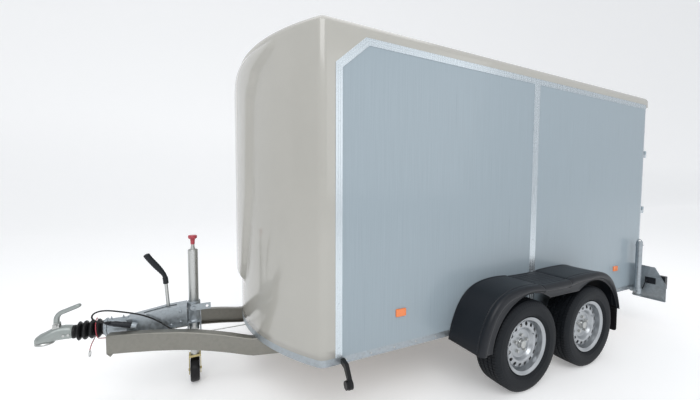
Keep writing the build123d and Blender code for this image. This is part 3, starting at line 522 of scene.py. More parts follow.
# Plug: a black socket plug that tapers from its cable end to a grip ring, parked in a pressed metal cup
zinc = finish_material("zinc_plate", (0.50, 0.51, 0.50), 0.30, metal=0.95, stretch=(90, 90, 90), tint=0.10,
                       swing=0.2, bump=0.05, dust=0.25)
black_plastic = finish_material("black_plastic", (0.006, 0.008, 0.012), 0.38, stretch=(900, 900, 900), tint=0.12,
                                swing=0.1, bump=0.25, depth=0.0004, dust=0.02, specular=0.35)
PLUG_START, PLUG_END = np.array((70.0, -2026.0, 504.0)), np.array((72.0, -1896.0, 466.0))
plug_line = PLUG_END - PLUG_START
plug_stations = np.array([0.0, 0.02, 0.10, 0.20, 0.30, 0.34, 0.38, 0.60, 0.62, 0.66, 0.70, 0.93, 0.97, 1.0])
plug_radii = np.array([6.0, 8.0, 9.5, 11.0, 14.0, 15.4, 15.8, 15.8, 15.8, 17.6, 17.8, 17.8, 17.4, 16.0])
plug_path = PLUG_START + plug_stations[:, None] * plug_line
plug_parts = [swept(plug_path, circle(1.0, 32), np.column_stack([plug_radii, plug_radii]))]
for k in range(5):
    middle = PLUG_START + plug_line * (0.05 + 0.035 * k)
    ring = np.array([-0.012, -0.004, 0.004, 0.012])[:, None] * plug_line + middle
    size = (8.6 + k) + np.array([0.0, 1.6, 1.6, 0.0])
    plug_parts.append(swept(ring, circle(1.0, 24), np.column_stack([size, size])))
plug_piece = add_piece("lighting_plug", plug_parts, black_plastic, "chassis", ["plug"])
hook_angle = np.linspace(0, 2 * np.pi, 49)
hook_parts = [swept(np.column_stack([40 + 17 * np.cos(hook_angle), np.full(49, -2108.0),
              325 + 17 * np.sin(hook_angle)]),
                    circle(2.5, 12))]
hook_piece = add_piece("breakaway_ring", hook_parts, zinc, "chassis", ["breakaway_hook"])


# Body shell: nose, roof and front corners are one glossy gelcoat moulding with a raised panel down the nose.
# Its walls are 15 mm thick, and the side panels stand in its cut-outs.
gelcoat = finish_material("gelcoat", (0.42, 0.41, 0.375), 0.16, coat=0.4, stretch=(5, 5, 5), tint=0.07, swing=0.05,
                          bump=0.06, depth=0.002, dust=0.12)
NOSE_Y, REAR_Y = -1247.0, 2355.0
HALF_WIDTH, NOSE_RADIUS, CORNER_RADIUS = 812.0, 1290.0, 60.0
RAIL_TOP, ROOF_BOTTOM, ROOF_TOP = 388.0, 2072.0, 2179.0
TRIM_Y, OPENING_Y = -884.0, -864.0
CHAMFER_LOW, CHAMFER_LENGTH = 1924.0, 176.0
EDGE_RADIUS = 52.0
ROOF_CROWN = 7.0
BULGE_PROUD = 34.0


def plan_ring(inset, side_y):
    """Plan of the shell at an inset, as (x, y) points from the rear middle round the left side to the nose and back
    round the right. The side is straight, the corner is an arc of the corner radius less the inset that touches
    the side and the nose arc, and the nose arc keeps its centre while its radius shrinks by the inset."""
    half = max(HALF_WIDTH - inset, 0.05)
    radius = NOSE_RADIUS - inset
    centre_y = NOSE_Y + NOSE_RADIUS
    corner = max(CORNER_RADIUS - inset, 0.1)
    corner_x = half - corner
    corner_y = centre_y - np.sqrt((radius - corner) ** 2 - max(corner_x, 0.0) ** 2)
    end = np.arctan2(corner_y - centre_y, corner_x)
    turn = np.linspace(0.0, end, 9)
    corner_points = np.column_stack([corner_x + corner * np.cos(turn), corner_y + corner * np.sin(turn)])
    sweep = np.linspace(end, -np.pi / 2, 66)[1:]
    nose_points = np.column_stack([radius * np.cos(sweep), centre_y + radius * np.sin(sweep)])
    rear = REAR_Y - inset
    rear_corner = max(22.0 - inset, 0.1)
    rear_turn = np.linspace(np.pi / 2, 0.0, 5)
    rear_points = np.column_stack([half - rear_corner + rear_corner * np.cos(rear_turn),
                                   rear - rear_corner + rear_corner * np.sin(rear_turn)])
    rear_points = np.concatenate([[(0.0, rear), (half * 0.5, rear)], rear_points])
    low, high = corner_points[0, 1], rear_points[-1, 1]
    share = (side_y - side_y[-1]) / (side_y[0] - side_y[-1])
    side_points = np.column_stack([np.full(len(side_y), half), low + (high - low) * share])[1:-1]
    left = np.concatenate([rear_points, side_points, corner_points, nose_points])
    return np.concatenate([left, left[-2:0:-1] * (-1, 1)])


side_stations = np.concatenate([np.linspace(2333.0, -600.0, 24), np.linspace(-688.0, OPENING_Y + 0.3, 9),
                                [OPENING_Y - 0.3, TRIM_Y, -931.0]])
outer_plan = plan_ring(0.0, side_stations)


def lower_edge(plan):
    """Height of the shell's lower edge round the plan: the roof's underside over the side panels, the chamfer's
    slope, and the rail's top from the panels' front edge forward."""
    slope = CHAMFER_LOW + (plan[:, 1] - OPENING_Y) * (ROOF_BOTTOM - CHAMFER_LOW) / CHAMFER_LENGTH
    return np.where(plan[:, 1] < OPENING_Y, RAIL_TOP, np.minimum(slope, ROOF_BOTTOM))


def panel_half_width(z):
    """Half width of the raised nose panel by height: narrow at its foot, and flaring out under the roof."""
    return np.interp(z, [640, 680, 790, 1220, 1830, 1980, 2072], [60, 96, 145, 257, 292, 372, 520])


def raised_panel(x, z):
    """Proudness of the nose panel: a smooth slope 46 wide at each side, a slanted foot, and a round top shoulder
    that falls away as a quarter ellipse towards the roof."""
    half = panel_half_width(z)
    side = 1.0 - smooth_step(half - 23.0, half + 23.0, np.abs(x))
    foot = smooth_step(636.0, 716.0, z)
    top = np.sqrt(np.clip(1.0 - (np.clip(z - 1960.0, 0.0, None) / 150.0) ** 2, 0.0, 1.0))
    return BULGE_PROUD * side * foot * top


wall_share = np.concatenate([np.linspace(0.0, 0.12, 5)[:-1], np.linspace(0.12, 0.28, 22)[:-1],
                             np.linspace(0.28, 0.88, 26)[:-1], np.linspace(0.88, 1.0, 26)])
base = lower_edge(outer_plan)
wall_top = ROOF_TOP - ROOF_CROWN - EDGE_RADIUS
rows = []
for share in wall_share:
    z = base + (wall_top - base) * share
    plan = outer_plan.copy()
    nose_part = (plan[:, 1] < -935.0)
    plan[:, 1] -= np.where(nose_part, raised_panel(plan[:, 0], z), 0.0)
    rows.append(np.column_stack([plan, z]))
for turn in np.linspace(0.0, np.pi / 2, 11)[1:]:
    plan = plan_ring(EDGE_RADIUS * (1.0 - np.cos(turn)), side_stations)
    z = np.full(len(plan), wall_top + EDGE_RADIUS * np.sin(turn))
    nose_part = (plan[:, 1] < -935.0)
    plan[:, 1] -= np.where(nose_part, raised_panel(plan[:, 0], z), 0.0)
    rows.append(np.column_stack([plan, z]))
for inset in np.array([60.0, 85.0, 130.0, 200.0, 300.0, 420.0, 540.0, 660.0, 760.0, 811.95]):
    plan = plan_ring(inset, side_stations)
    crown = ROOF_TOP - ROOF_CROWN + ROOF_CROWN * (1.0 - ((HALF_WIDTH - inset) / HALF_WIDTH) ** 2)
    rows.append(np.column_stack([plan, np.full(len(plan), crown)]))
shell_points = np.stack(rows)
shell_faces = grid_quads(len(rows), len(outer_plan), wrap_columns=True)
shell = make_piece("body_shell", shell_points.reshape(-1, 3) * MM, shell_faces, gelcoat)
tidy = bmesh.new()
tidy.from_mesh(shell.data)
bmesh.ops.remove_doubles(tidy, verts=tidy.verts, dist=0.15 * MM)
bmesh.ops.recalc_face_normals(tidy, faces=tidy.faces)
tidy.faces.ensure_lookup_table()
front_face = min(tidy.faces, key=lambda face: face.calc_center_median().y)
if front_face.normal.y > 0:
    bmesh.ops.reverse_faces(tidy, faces=tidy.faces)
tidy.to_mesh(shell.data)
tidy.free()
shell.data.set_sharp_from_angle(angle=np.radians(50))
wall = shell.modifiers.new("wall", "SOLIDIFY")
wall.thickness = 15.0 * MM
wall.offset = -1.0
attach(shell, "chassis")
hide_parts("nose_shell", "roof_shell")


# Side trims: anodised aluminium strips 40 mm wide with two shallow grooves. They frame each side panel in front,
# over its chamfer and along the top, with mitred corners, and a wider one covers the panel's middle joint.
aluminium = finish_material("aluminium_trim", (0.62, 0.68, 0.72), 0.27, metal=0.9, stretch=(900, 900, 12), tint=0.05,
                            swing=0.12, bump=0.05, dust=0.10)
TRIM_WIDTH, TRIM_PROUD, MID_POST_Y = 40.0, 3.0, 708.0
strip_across = np.array([0.0, 0.0, 1.2, 12.0, 13.0, 14.5, 15.5, 24.5, 25.5, 27.0, 28.0, 38.8, 40.0, 40.0])
strip_height = np.array([0.2, 2.0, 3.0, 3.0, 2.2, 2.2, 3.0, 3.0, 2.2, 2.2, 3.0, 3.0, 2.0, 0.2])


def trim_line(margin):
    """The trim's line at a margin inside its outer edge, as (y, z) corners: front foot, chamfer and rear top."""
    return np.array([(TRIM_Y + margin, RAIL_TOP), (TRIM_Y + margin, CHAMFER_LOW + 10.0 - 0.5 * margin),
                     (TRIM_Y + CHAMFER_LENGTH + 0.5 * margin, ROOF_BOTTOM + 20.0 - margin),
                     (2300.0, ROOF_BOTTOM + 20.0 - margin)])


def strip_surface(lines, heights):
    """Rows of points along the strip's lines at their heights off the panel, closed underneath."""
    rings = [np.column_stack([np.full(len(line), HALF_WIDTH + height), line]) for line, height in zip(lines, heights)]
    points = np.stack(rings, 1)
    return outward(points.reshape(-1, 3),
                   list(grid_quads(points.shape[0], points.shape[1], wrap_columns=True))
                   + ring_caps(points.shape[0], points.shape[1]))


post_across = (strip_across - 20.0) * 64.0 / 40.0
frame_strip = strip_surface([trim_line(m) for m in strip_across], strip_height)
post_strip = strip_surface(
    [np.array([(MID_POST_Y + m, RAIL_TOP), (MID_POST_Y + m, ROOF_BOTTOM - 20.0)]) for m in post_across], strip_height)
screws = []
for y in np.arange(-640.0, 2280.0, 240.0):
    screws.append(turned([(0.0, 4.2), (1.0, 4.0), (1.8, 2.8), (2.1, 1.0)], 12, (HALF_WIDTH + 3.0, y, 2072.0), "x"))
for z in np.arange(440.0, 1900.0, 240.0):
    for y in (TRIM_Y + 20.0, MID_POST_Y):
        screws.append(turned([(0.0, 4.2), (1.0, 4.0), (1.8, 2.8), (2.1, 1.0)], 12, (HALF_WIDTH + 3.0, y, z), "x"))
trim_parts = [frame_strip, post_strip, *screws]
add_piece("side_trim_strips", trim_parts + [mirrored(part) for part in trim_parts], aluminium, "chassis",
          ["side_trims"], crease=25.0)


# Perimeter rail rivets: domed heads in a row along the galvanised rail, which itself keeps its folded angle
rivets = []
for y in np.arange(-820.0, 2290.0, 155.0):
    rivets.append(turned([(0.0, 5.5), (1.2, 5.2), (2.4, 3.8), (3.0, 1.2)], 12, (HALF_WIDTH, y, 368.0), "x"))
add_piece("rail_rivets", rivets + [mirrored(part) for part in rivets], zinc, "chassis", ())


# Reflectors: amber lenses with rounded corners and a raised rim, stuck to the side panels low down
amber = finish_material("amber", (0.85, 0.22, 0.05), 0.25, coat=0.6, stretch=(400, 400, 400), tint=0.1, dust=0.1)
reflector_parts = []
for y, z in ((-468.0, 567.0), (1879.0, 576.0)):
    outline = np.array([(35 * a, 22.5 * b) for a, b in ((-1, -1), (1, -1), (1, 1), (-1, 1))])
    rounded = np.concatenate([corner * (1 - 5.0 / np.abs(corner)) + 5.0 * np.column_stack(
        [np.cos(t), np.sin(t)]) for corner, t in zip(outline, [np.linspace(a, a + np.pi / 2, 5) for a in
                                                               (np.pi, 1.5 * np.pi, 0.0, 0.5 * np.pi)])])
    rings = [(1.0, 0.2), (1.0, 5.0), (0.97, 7.0), (0.90, 7.4), (0.86, 5.8), (0.80, 6.2)]
    points = np.concatenate([np.column_stack([np.full(len(rounded), HALF_WIDTH + h), y + rounded[:, 0] * s,
                                              z + rounded[:, 1] * s]) for s, h in rings])
    reflector_parts.append(outward(points, list(grid_quads(len(rings), len(rounded), wrap_columns=True))
                                   + ring_caps(len(rings), len(rounded))))
add_piece("side_reflectors", reflector_parts + [mirrored(part) for part in reflector_parts], amber, "chassis",
          ["reflectors"], crease=30.0)


# Tyres: radial tyres with four grooves round the tread, sipes cut across its ribs and a stepped sidewall.
# Each stands on the wheel's rim, and its shape is the same at all four corners.
WHEEL_X, TYRE_RADIUS = 974.5, 294.5
WHEEL_Y = {"front": 340.0, "rear": 1020.0}
TREAD_PITCHES = 88
half_profile = np.array([
    (58.0, 166.0), (63.0, 170.0), (66.0, 180.0), (70.0, 188.0), (77.0, 193.0), (83.0, 201.0), (86.6, 206.0), (88.6,
                                                            208.5),
    (90.6, 220.0), (92.0, 232.0), (92.5, 240.0), (92.0, 250.0), (90.6, 259.0), (90.8, 261.0), (89.8, 264.0),
    (88.0, 270.0), (85.5, 276.0), (82.0, 282.0), (77.5, 286.8), (73.0, 289.6)])
tread_across = np.array([70.0, 66.0, 62.0, 58.0, 54.0, 51.0, 50.0, 46.0, 44.0, 43.0, 38.0, 32.0, 26.0, 21.0, 20.0,
                        16.0,
                         14.0, 13.0, 8.0, 4.0, 0.0])
tread_depth = np.array([0, 0, 0, 0, 0, 0, 5.5, 5.5, 5.5, 0, 0, 0, 0, 0, 5.5, 5.5, 5.5, 0, 0, 0, 0.0])
tread_profile = np.column_stack([tread_across, TYRE_RADIUS - 0.9 * (tread_across / 46.0) ** 2 - tread_depth])
side_half = np.concatenate([half_profile, tread_profile])
tyre_profile = np.concatenate([side_half, side_half[-2::-1] * (-1, 1)])
inner_wall = [(-56.0, 167.0), (-70.0, 200.0), (-80.0, 235.0), (-62.0, 274.0), (0.0, 280.0), (62.0, 274.0),
              (80.0, 235.0), (70.0, 200.0), (56.0, 167.0)]
tyre_profile = np.concatenate([tyre_profile, inner_wall])


def sipes(along, angle):
    """Cuts across the tread: 4 deep where the angle, skewed by the place across, falls in the narrow part of each
    pitch, and a shallow step on the shoulders, none in the grooves or on the sidewall."""
    phase = (angle * TREAD_PITCHES / (2 * np.pi) + 0.010 * np.abs(along)) % 1.0
    cut = (phase < 0.22) & (np.abs(along) < 74.0)
    shoulder = (phase < 0.30) & (np.abs(along) >= 74.0) & (np.abs(along) < 90.0)
    outer = np.arange(along.shape[0])[:, None] < len(tyre_profile) - len(inner_wall)
    return -(3.2 * cut + 1.6 * shoulder) * outer


tyre_part = turned(tyre_profile, TREAD_PITCHES * 5, (0, 0, 0), "x", closed=True, wobble=sipes)


# Rims: pressed steel wheels, painted silver. The well and flanges are one turned band, and the disc has sixteen
# round vents in its raised ring, a deep dish inside it, a centre hole and bolt seats.
VENTS, VENT_CIRCLE, VENT_RADIUS = 16, 134.0, 12.8
band_profile = np.array([
    (-76.0, 180.0), (-76.0, 183.0), (-74.0, 185.0), (-70.5, 184.0), (-69.0, 178.0), (-66.0, 167.0), (-40.0, 164.5),
    (-20.0, 150.0), (10.0, 150.0), (24.0, 164.5), (60.0, 165.5), (66.0, 167.0), (69.0, 178.0), (70.5, 184.0),
    (73.5, 185.5), (76.0, 184.0), (76.0, 181.0), (74.0, 177.0), (70.5, 170.5), (67.0, 163.0), (58.0, 161.5), (22.0,
                                                            160.5),
    (9.0, 147.0), (-19.0, 147.0), (-42.0, 161.0), (-67.0, 163.0), (-72.0, 174.0)])
disc_radius = [31.0, 33.0, 36.0, 44.0, 68.0, 78.0, 86.0, 92.0, 98.0, 104.0, 110.0, 116.0, 122.0, 133.0, 144.0, 150.0,
               155.0, 160.6]
disc_offset = [27.5, 25.5, 25.0, 26.5, 26.5, 25.0, 24.0, 26.0, 34.0, 43.0, 47.0, 48.0, 47.5, 46.0, 44.0, 42.0,
               36.0, 33.0]


def disc_height(radius):
    """Distance of the disc's outer face from the wheel's middle plane, by radius, through its pressed profile."""
    return np.interp(radius, disc_radius, disc_offset)


def vent_sector():
    """One sector of the vented ring between radii 117 and 152: rings of 40 points that pass from the vent's
    circle to the sector's border, each an even blend of the two, then lie on the disc's profile."""
    half_angle = np.pi / VENTS
    inner, outer = 117.0, 152.0
    edge = np.linspace(-1.0, 1.0, 11)[:-1]
    border = np.concatenate([
        np.column_stack([np.full(10, inner), edge * half_angle]),
        np.column_stack([inner + (edge + 1) / 2 * (outer - inner), np.full(10, half_angle)]),
        np.column_stack([np.full(10, outer), -edge * half_angle]),
        np.column_stack([outer - (edge + 1) / 2 * (outer - inner), np.full(10, -half_angle)])])
    border_xy = np.column_stack([border[:, 0] * np.cos(border[:, 1]), border[:, 0] * np.sin(border[:, 1])])
    centre = np.array((VENT_CIRCLE, 0.0))
    towards = border_xy - centre
    towards /= np.linalg.norm(towards, axis=1)[:, None]
    rings = []
    for blend, sink in ((0.0, -7.0), (0.0, -1.6), (0.04, -0.5), (0.12, 0.0), (0.5, 0.0), (1.0, 0.0)):
        start = centre + towards * VENT_RADIUS
        place = start + (border_xy - start) * blend
        rings.append(np.column_stack([disc_height(np.linalg.norm(place, axis=1)) + sink, place]))
    return np.stack(rings)


sector = vent_sector()
disc_parts = []
for i in range(VENTS):
    turn = 2 * np.pi * (i + 0.5) / VENTS
    c, s = np.cos(turn), np.sin(turn)
    placed = np.stack([sector[..., 0], sector[..., 1] * c - sector[..., 2] * s,
                       sector[..., 1] * s + sector[..., 2] * c], -1)
    faces = [list(f)[::-1] for f in grid_quads(placed.shape[0], placed.shape[1], wrap_columns=True)]
    disc_parts.append((placed.reshape(-1, 3), faces))


def disc_band(radii, sides=160):
    """A ring of the disc between radii, on its pressed profile."""
    angle = np.linspace(0, 2 * np.pi, sides, endpoint=False)
    radii = np.asarray(radii, float)[:, None]
    points = np.stack([np.repeat(disc_height(radii), sides, 1), radii * np.cos(angle), radii * np.sin(angle)], -1)
    return points.reshape(-1, 3), [list(f) for f in grid_quads(len(radii), sides, wrap_columns=True)]


inner_band = disc_band([31.0, 33.0, 36.0, 40.0, 44.0, 50.0, 56.0, 62.0, 68.0, 73.0, 78.0, 82.0, 86.0, 89.0, 92.0,
                       95.0, 98.0,
                        101.0, 104.0, 107.0, 110.0, 113.5, 117.0])
outer_band = disc_band([152.0, 154.0, 157.0, 160.6])


def facing(points, faces):
    """Faces of an open sheet turned so that most of them look outwards along +X."""
    a, b, c = (points[np.array([f[i] for f in faces])] for i in range(3))
    return (points, faces if np.cross(b - a, c - a)[:, 0].sum() > 0 else [f[::-1] for f in faces])


disc_parts = [facing(*part) for part in disc_parts] + [facing(*inner_band), facing(*outer_band)]
back_points, back_faces = facing(*disc_band([31.0, 44.0, 68.0, 86.0, 92.0, 98.0, 104.0, 110.0, 117.0, 120.0]))
disc_parts.append((back_points - (6.0, 0.0, 0.0), [face[::-1] for face in back_faces]))
valve = turned([(0.0, 3.6), (14.0, 3.6), (15.0, 4.4), (26.0, 4.2), (29.0, 3.0)], 14, (0, 0, 0), "x")
rim_band = turned(band_profile, 128, (0, 0, 0), "x", closed=True)

# Dark ring close behind the vents, which stands for the shadow inside the wheel
painted_vent_shadow = turned([(14.0, 118.0), (24.0, 118.0), (24.0, 146.0), (14.0, 146.0)], 96, (0, 0, 0), "x", closed=True)

# Hubs: a brake drum behind the disc, a pressed grease cap in the middle and five hexagon bolts
tyre_rubber = finish_material("tyre_rubber", (0.006, 0.008, 0.011), 0.60, stretch=(120, 120, 120), tint=0.22,
                              swing=0.15, bump=0.2, dust=0.02, reach=0.6, specular=0.22)
silver_paint = finish_material("silver_paint", (0.40, 0.42, 0.44), 0.30, metal=0.85, coat=0.3, stretch=(400, 400,
                               400),
                               tint=0.05, swing=0.06, bump=0.05, dust=0.12)
hub_parts = [turned([(-117.0, 30.0), (-117.0, 104.0), (-64.0, 104.0), (-62.0, 101.0), (-62.0, 72.0), (19.0, 72.0),
                     (19.0, 31.0)], 96, (0, 0, 0), "x"),
             turned([(19.0, 29.5), (34.0, 29.5), (36.0, 28.8), (38.0, 27.0), (46.0, 26.6), (51.0, 25.0), (53.5, 20.0),
                     (54.0, 8.0)], 64, (0, 0, 0), "x")]
for i in range(5):
    angle = np.pi / 2 + 2 * np.pi * i / 5
    place = (0.0, 56.0 * np.cos(angle), 56.0 * np.sin(angle))
    hub_parts.append(turned([(20.0, 11.5), (29.5, 11.5), (30.5, 11.0)], 24, place, "x"))
    hub_parts.append(turned([(30.0, 9.6), (39.0, 9.6), (40.0, 8.2), (40.0, 4.0)], 6, place, "x"))


def placed(part, centre, flip):
    """A wheel part moved to its hub, and turned over for the right side by changing the sign of x."""
    points, faces = part
    points = np.asarray(points) + (0.0, centre[1], centre[2])
    points = points + (centre[0], 0.0, 0.0)
    return mirrored((points, faces)) if flip else (points, faces)


for axle, wheel_y in WHEEL_Y.items():
    for side in ("left", "right"):
        centre = (WHEEL_X, wheel_y, TYRE_RADIUS)
        corner = f"{axle}_{side}"
        flip = side == "right"
        valve_place = (WHEEL_X + 28.0, wheel_y + 108.0 * np.cos(0.5), TYRE_RADIUS + 108.0 * np.sin(0.5))
        add_piece(f"tread_tyre_{corner}", [placed(tyre_part, centre, flip)], tyre_rubber, f"wheel_{corner}",
                  [f"tyre_{corner}"], crease=28.0)
        add_piece(f"steel_rim_{corner}", [placed(part, centre, flip) for part in disc_parts + [rim_band]]
                  + [placed(valve, valve_place, flip)], silver_paint, f"wheel_{corner}", [f"rim_{corner}"],
                  crease=32.0)
        # A dark ring painted behind the vents, as the shadow inside the wheel, in the rubber finish
        add_piece(f"vent_shadow_ring_{corner}", [placed(painted_vent_shadow, centre, flip)], rubber, f"wheel_{corner}", (),
                  crease=32.0)
        add_piece(f"wheel_hub_{corner}", [placed(part, centre, flip) for part in hub_parts], zinc, f"wheel_{corner}",
                  [f"hub_{corner}"], crease=32.0)


# Mudguards: one black moulding over both wheels on each side. It has a hump over each wheel, a ribbed step pad
# between two cross grooves, a thick rolled outer edge, a skirt that dips between the wheels and a flap behind.
GUARD_INNER_X = 816.0
ARCH_RADIUS, ARCH_DIP_Z = 346.0, 590.0
GROOVES_Y = (438.0, 736.0)
guard_line = smooth_path(np.array([
    (-102, 331), (-88, 398), (-64, 468), (-26, 545), (28, 610), (98, 655), (190, 681), (300, 690), (410, 686),
    (450, 679), (590, 678), (724, 681), (765, 688), (860, 694), (980, 696), (1085, 694), (1170, 678), (1240, 642),
    (1292, 586), (1330, 508), (1354, 434), (1366, 380)], float), 400)
line_length = np.concatenate([[0.0], np.cumsum(np.linalg.norm(np.diff(guard_line, axis=0), axis=1))])
s_at = {y: np.interp(y, guard_line[60:340, 0], line_length[60:340]) for y in (340.0, 480.0, 880.0, 1020.0,
        *GROOVES_Y)}
stations = np.unique(np.concatenate(
    [np.linspace(0.0, line_length[-1], 250)]
    + [s_at[y] + np.array([-8.0, -5.5, -4.5, -1.5, 1.5, 4.5, 5.5, 8.0]) for y in GROOVES_Y]))
guard_y = np.interp(stations, line_length, guard_line[:, 0])
guard_z = np.interp(stations, line_length, guard_line[:, 1])
knots = [0.0, s_at[340.0], s_at[480.0], s_at[880.0], s_at[1020.0], line_length[-1]]
front_turn = np.radians(np.interp(stations, knots[:3], [174.1, 90.0, 58.66]))
rear_turn = np.radians(np.interp(stations, knots[3:], [121.34, 90.0, 14.3]))
between = np.interp(stations, knots[2:4], [0.0, 1.0])
arch_y = np.where(stations < knots[2], 340.0 + ARCH_RADIUS * np.cos(front_turn),
                  np.where(stations < knots[3], 520.0 + 320.0 * between, 1020.0 + ARCH_RADIUS * np.cos(rear_turn)))
arch_z = np.where(stations < knots[2], TYRE_RADIUS + ARCH_RADIUS * np.sin(front_turn),
                  np.where(stations < knots[3], ARCH_DIP_Z, TYRE_RADIUS + ARCH_RADIUS * np.sin(rear_turn)))
down = np.column_stack([arch_y - guard_y, arch_z - guard_z])
skirt_height = np.linalg.norm(down, axis=1)
down /= skirt_height[:, None]
edge_room = np.minimum(1.0, 0.8 * skirt_height / 52.0)
top_x = np.linspace(GUARD_INNER_X, 1036.0, 66)
edge_section = np.array([(1039.0, 0.5), (1043.0, 3.0), (1048.0, 4.0), (1053.0, 1.5), (1060.0, 0.5), (1068.0, 2.5),
                         (1075.0, 7.0), (1080.5, 14.0), (1084.0, 23.0), (1085.0, 33.0), (1083.5, 41.0), (1079.0,
                                                            46.0),
                         (1074.0, 48.0), (1070.0, 51.0)])


def step_pad(x, y):
    """Raised ribs on the pad between the grooves: bars 8 wide every 15, broken every 50 along the trailer."""
    inside = ((x > 846.0) & (x < 1024.0) & (y > GROOVES_Y[0] + 16.0) & (y < GROOVES_Y[1] - 16.0))
    bars = (((x - 846.0) % 14.8) < 8.4) & (((y - GROOVES_Y[0] - 16.0) % 53.2) < 44.0)
    return 2.4 * inside * bars


def groove(y):
    """Depth of the two cross grooves by the place along the trailer."""
    nearest = np.minimum(np.abs(y - GROOVES_Y[0]), np.abs(y - GROOVES_Y[1]))
    return 6.5 * (1.0 - smooth_step(2.5, 6.5, nearest))


rings = []
for x in top_x:
    lift = step_pad(x, guard_y) - groove(guard_y) + 3.5 * (1 - smooth_step(0.0, 14.0, x - GUARD_INNER_X))
    place = np.column_stack([guard_y, guard_z]) - down * (lift - 3.5)[:, None]
    rings.append(np.column_stack([np.full(len(stations), x), place]))
for x, depth in edge_section:
    place = np.column_stack([guard_y, guard_z]) + down * (depth * edge_room + 0.8 * groove(guard_y))[:, None]
    rings.append(np.column_stack([np.full(len(stations), x), place]))
skirt_start = rings[-1][:, 1:]
for share in (0.15, 0.4, 0.7, 0.93, 1.0):
    place = skirt_start + (np.column_stack([arch_y, arch_z]) - skirt_start) * share
    rings.append(np.column_stack([np.full(len(stations), 1070.0 + 3.0 * (share > 0.9)), place]))
guard_points = np.stack(rings)
guard_faces = [list(f) for f in grid_quads(guard_points.shape[0], guard_points.shape[1])]
flat_points = guard_points.reshape(-1, 3)
middle = guard_faces[len(guard_faces) // 3]
if np.cross(flat_points[middle[1]] - flat_points[middle[0]], flat_points[middle[2]] - flat_points[middle[0]])[2] < 0:
    guard_faces = [f[::-1] for f in guard_faces]
flap_turn = np.linspace(0, np.pi / 2, 7)
flap_outline = np.concatenate([[(822.0, 396.0)], np.column_stack([842 - 20 * np.cos(flap_turn),
                              222 - 20 * np.sin(flap_turn)]),
                               np.column_stack([1050 + 20 * np.sin(flap_turn), 222 - 20 * np.cos(flap_turn)]),
                               [(1070.0, 396.0)]])
flap = prism(flap_outline, (1355.0, 1361.0), "y")
flap_bar = box_part((828.0, 1064.0), (1350.0, 1355.0), (352.0, 378.0))
for side, turn in (("left", lambda part: part), ("right", mirrored)):
    guard = add_piece(f"wheel_guard_{side}", [turn((flat_points, guard_faces))], black_plastic, "chassis",
                      [f"mudguard_{side}"], crease=42.0)
    skin = guard.modifiers.new("skin", "SOLIDIFY")
    skin.thickness = 4.0 * MM
    skin.offset = -1.0
    add_piece(f"spray_flap_{side}", [turn(flap), turn(flap_bar)], rubber, "chassis", (), bevel=1.5)


# Drawbar beams: galvanised channels folded from 5 mm sheet, open inwards, that run from the coupling to under the
# floor. They spread at 14.2 degrees and curve down in an S in front of the nose.
beam_zinc = finish_material("beam_zinc", (0.24, 0.235, 0.21), 0.36, metal=0.85, spangled=55.0, bump=0.12, dust=0.25,
                            contrast=0.25)
BEAM_SPREAD = np.radians(14.2)
beam_height_line = smooth_path(np.array([
    (0.0, 440.0), (60.0, 440.0), (128.8, 439.5), (290.0, 434.0), (448.0, 420.7), (570.0, 401.0), (675.0, 379.3),
    (745.0, 362.0), (801.0, 350.5), (870.0, 348.0), (1400.0, 348.0), (2141.4, 348.0)]), 240)
fold = np.linspace(0.0, np.pi / 2, 6)
outer_fold = np.column_stack([-9.0 + 9.0 * np.sin(fold), 9.0 - 9.0 * np.cos(fold)])
inner_fold = np.column_stack([-9.0 + 4.0 * np.sin(fold), 9.0 - 4.0 * np.cos(fold)])
channel = np.concatenate([[(-50.0, 0.0)], outer_fold, outer_fold[::-1] * (1, -1) + (0, 112.0), [(-50.0, 112.0)],
                          [(-50.0, 107.0)], inner_fold * (1, -1) + (0, 112.0), inner_fold[::-1], [(-50.0, 5.0)]])
along = beam_height_line[:, :1]
beam_points = np.stack([
    110.0 + along * np.sin(BEAM_SPREAD) + channel[:, 0] * np.cos(BEAM_SPREAD),
    -2016.0 + along * np.cos(BEAM_SPREAD) - channel[:, 0] * np.sin(BEAM_SPREAD),
    beam_height_line[:, 1:] - channel[:, 1]], -1)
beam_part = outward(beam_points.reshape(-1, 3),
                    list(grid_quads(len(along), len(channel), wrap_columns=True)) + ring_caps(len(along),
                                                            len(channel)))
beam_tab = prism([(-2012.0, 331.0), (-1982.0, 331.0), (-1997.0, 314.0)], (108.0, 113.0), "x")
add_piece("drawbar_channel_left", [beam_part, beam_tab], beam_zinc, "chassis", ["drawbar_beam_left"],
          crease=40)
add_piece("drawbar_channel_right", [mirrored(beam_part), mirrored(beam_tab)], beam_zinc, "chassis",
          ["drawbar_beam_right"],
          crease=40)


# Overrun housing: a galvanised box folded from 5 mm sheet that rises to the rear, with a slot for the handbrake
# lever on top, a turned neck in front with its collar and grease nipples, and the parking cup of the plug.
galvanised = finish_material("galvanised", (0.38, 0.42, 0.45), 0.38, metal=0.85, spangled=75.0, bump=0.15, dust=0.2)
HOUSING_REAR = -1602.0


def housing_top(y):
    """Height of the housing's top along the trailer: a rising front part and a nearly level rear part."""
    return np.interp(y, [HOUSING_Y, HOUSING_Y + 214.0, HOUSING_REAR], [496.0, 530.0, 536.0])


def top_strip(x, y_start, y_end):
    """A piece of the top sheet between two stations."""
    y = np.array(sorted({y_start, y_end} | ({HOUSING_Y + 214.0} if y_start < HOUSING_Y + 214.0 < y_end else set())))
    upper = np.column_stack([y, housing_top(y)])
    return prism(np.concatenate([upper, upper[::-1] - (0.0, 5.0)]), x, "x")


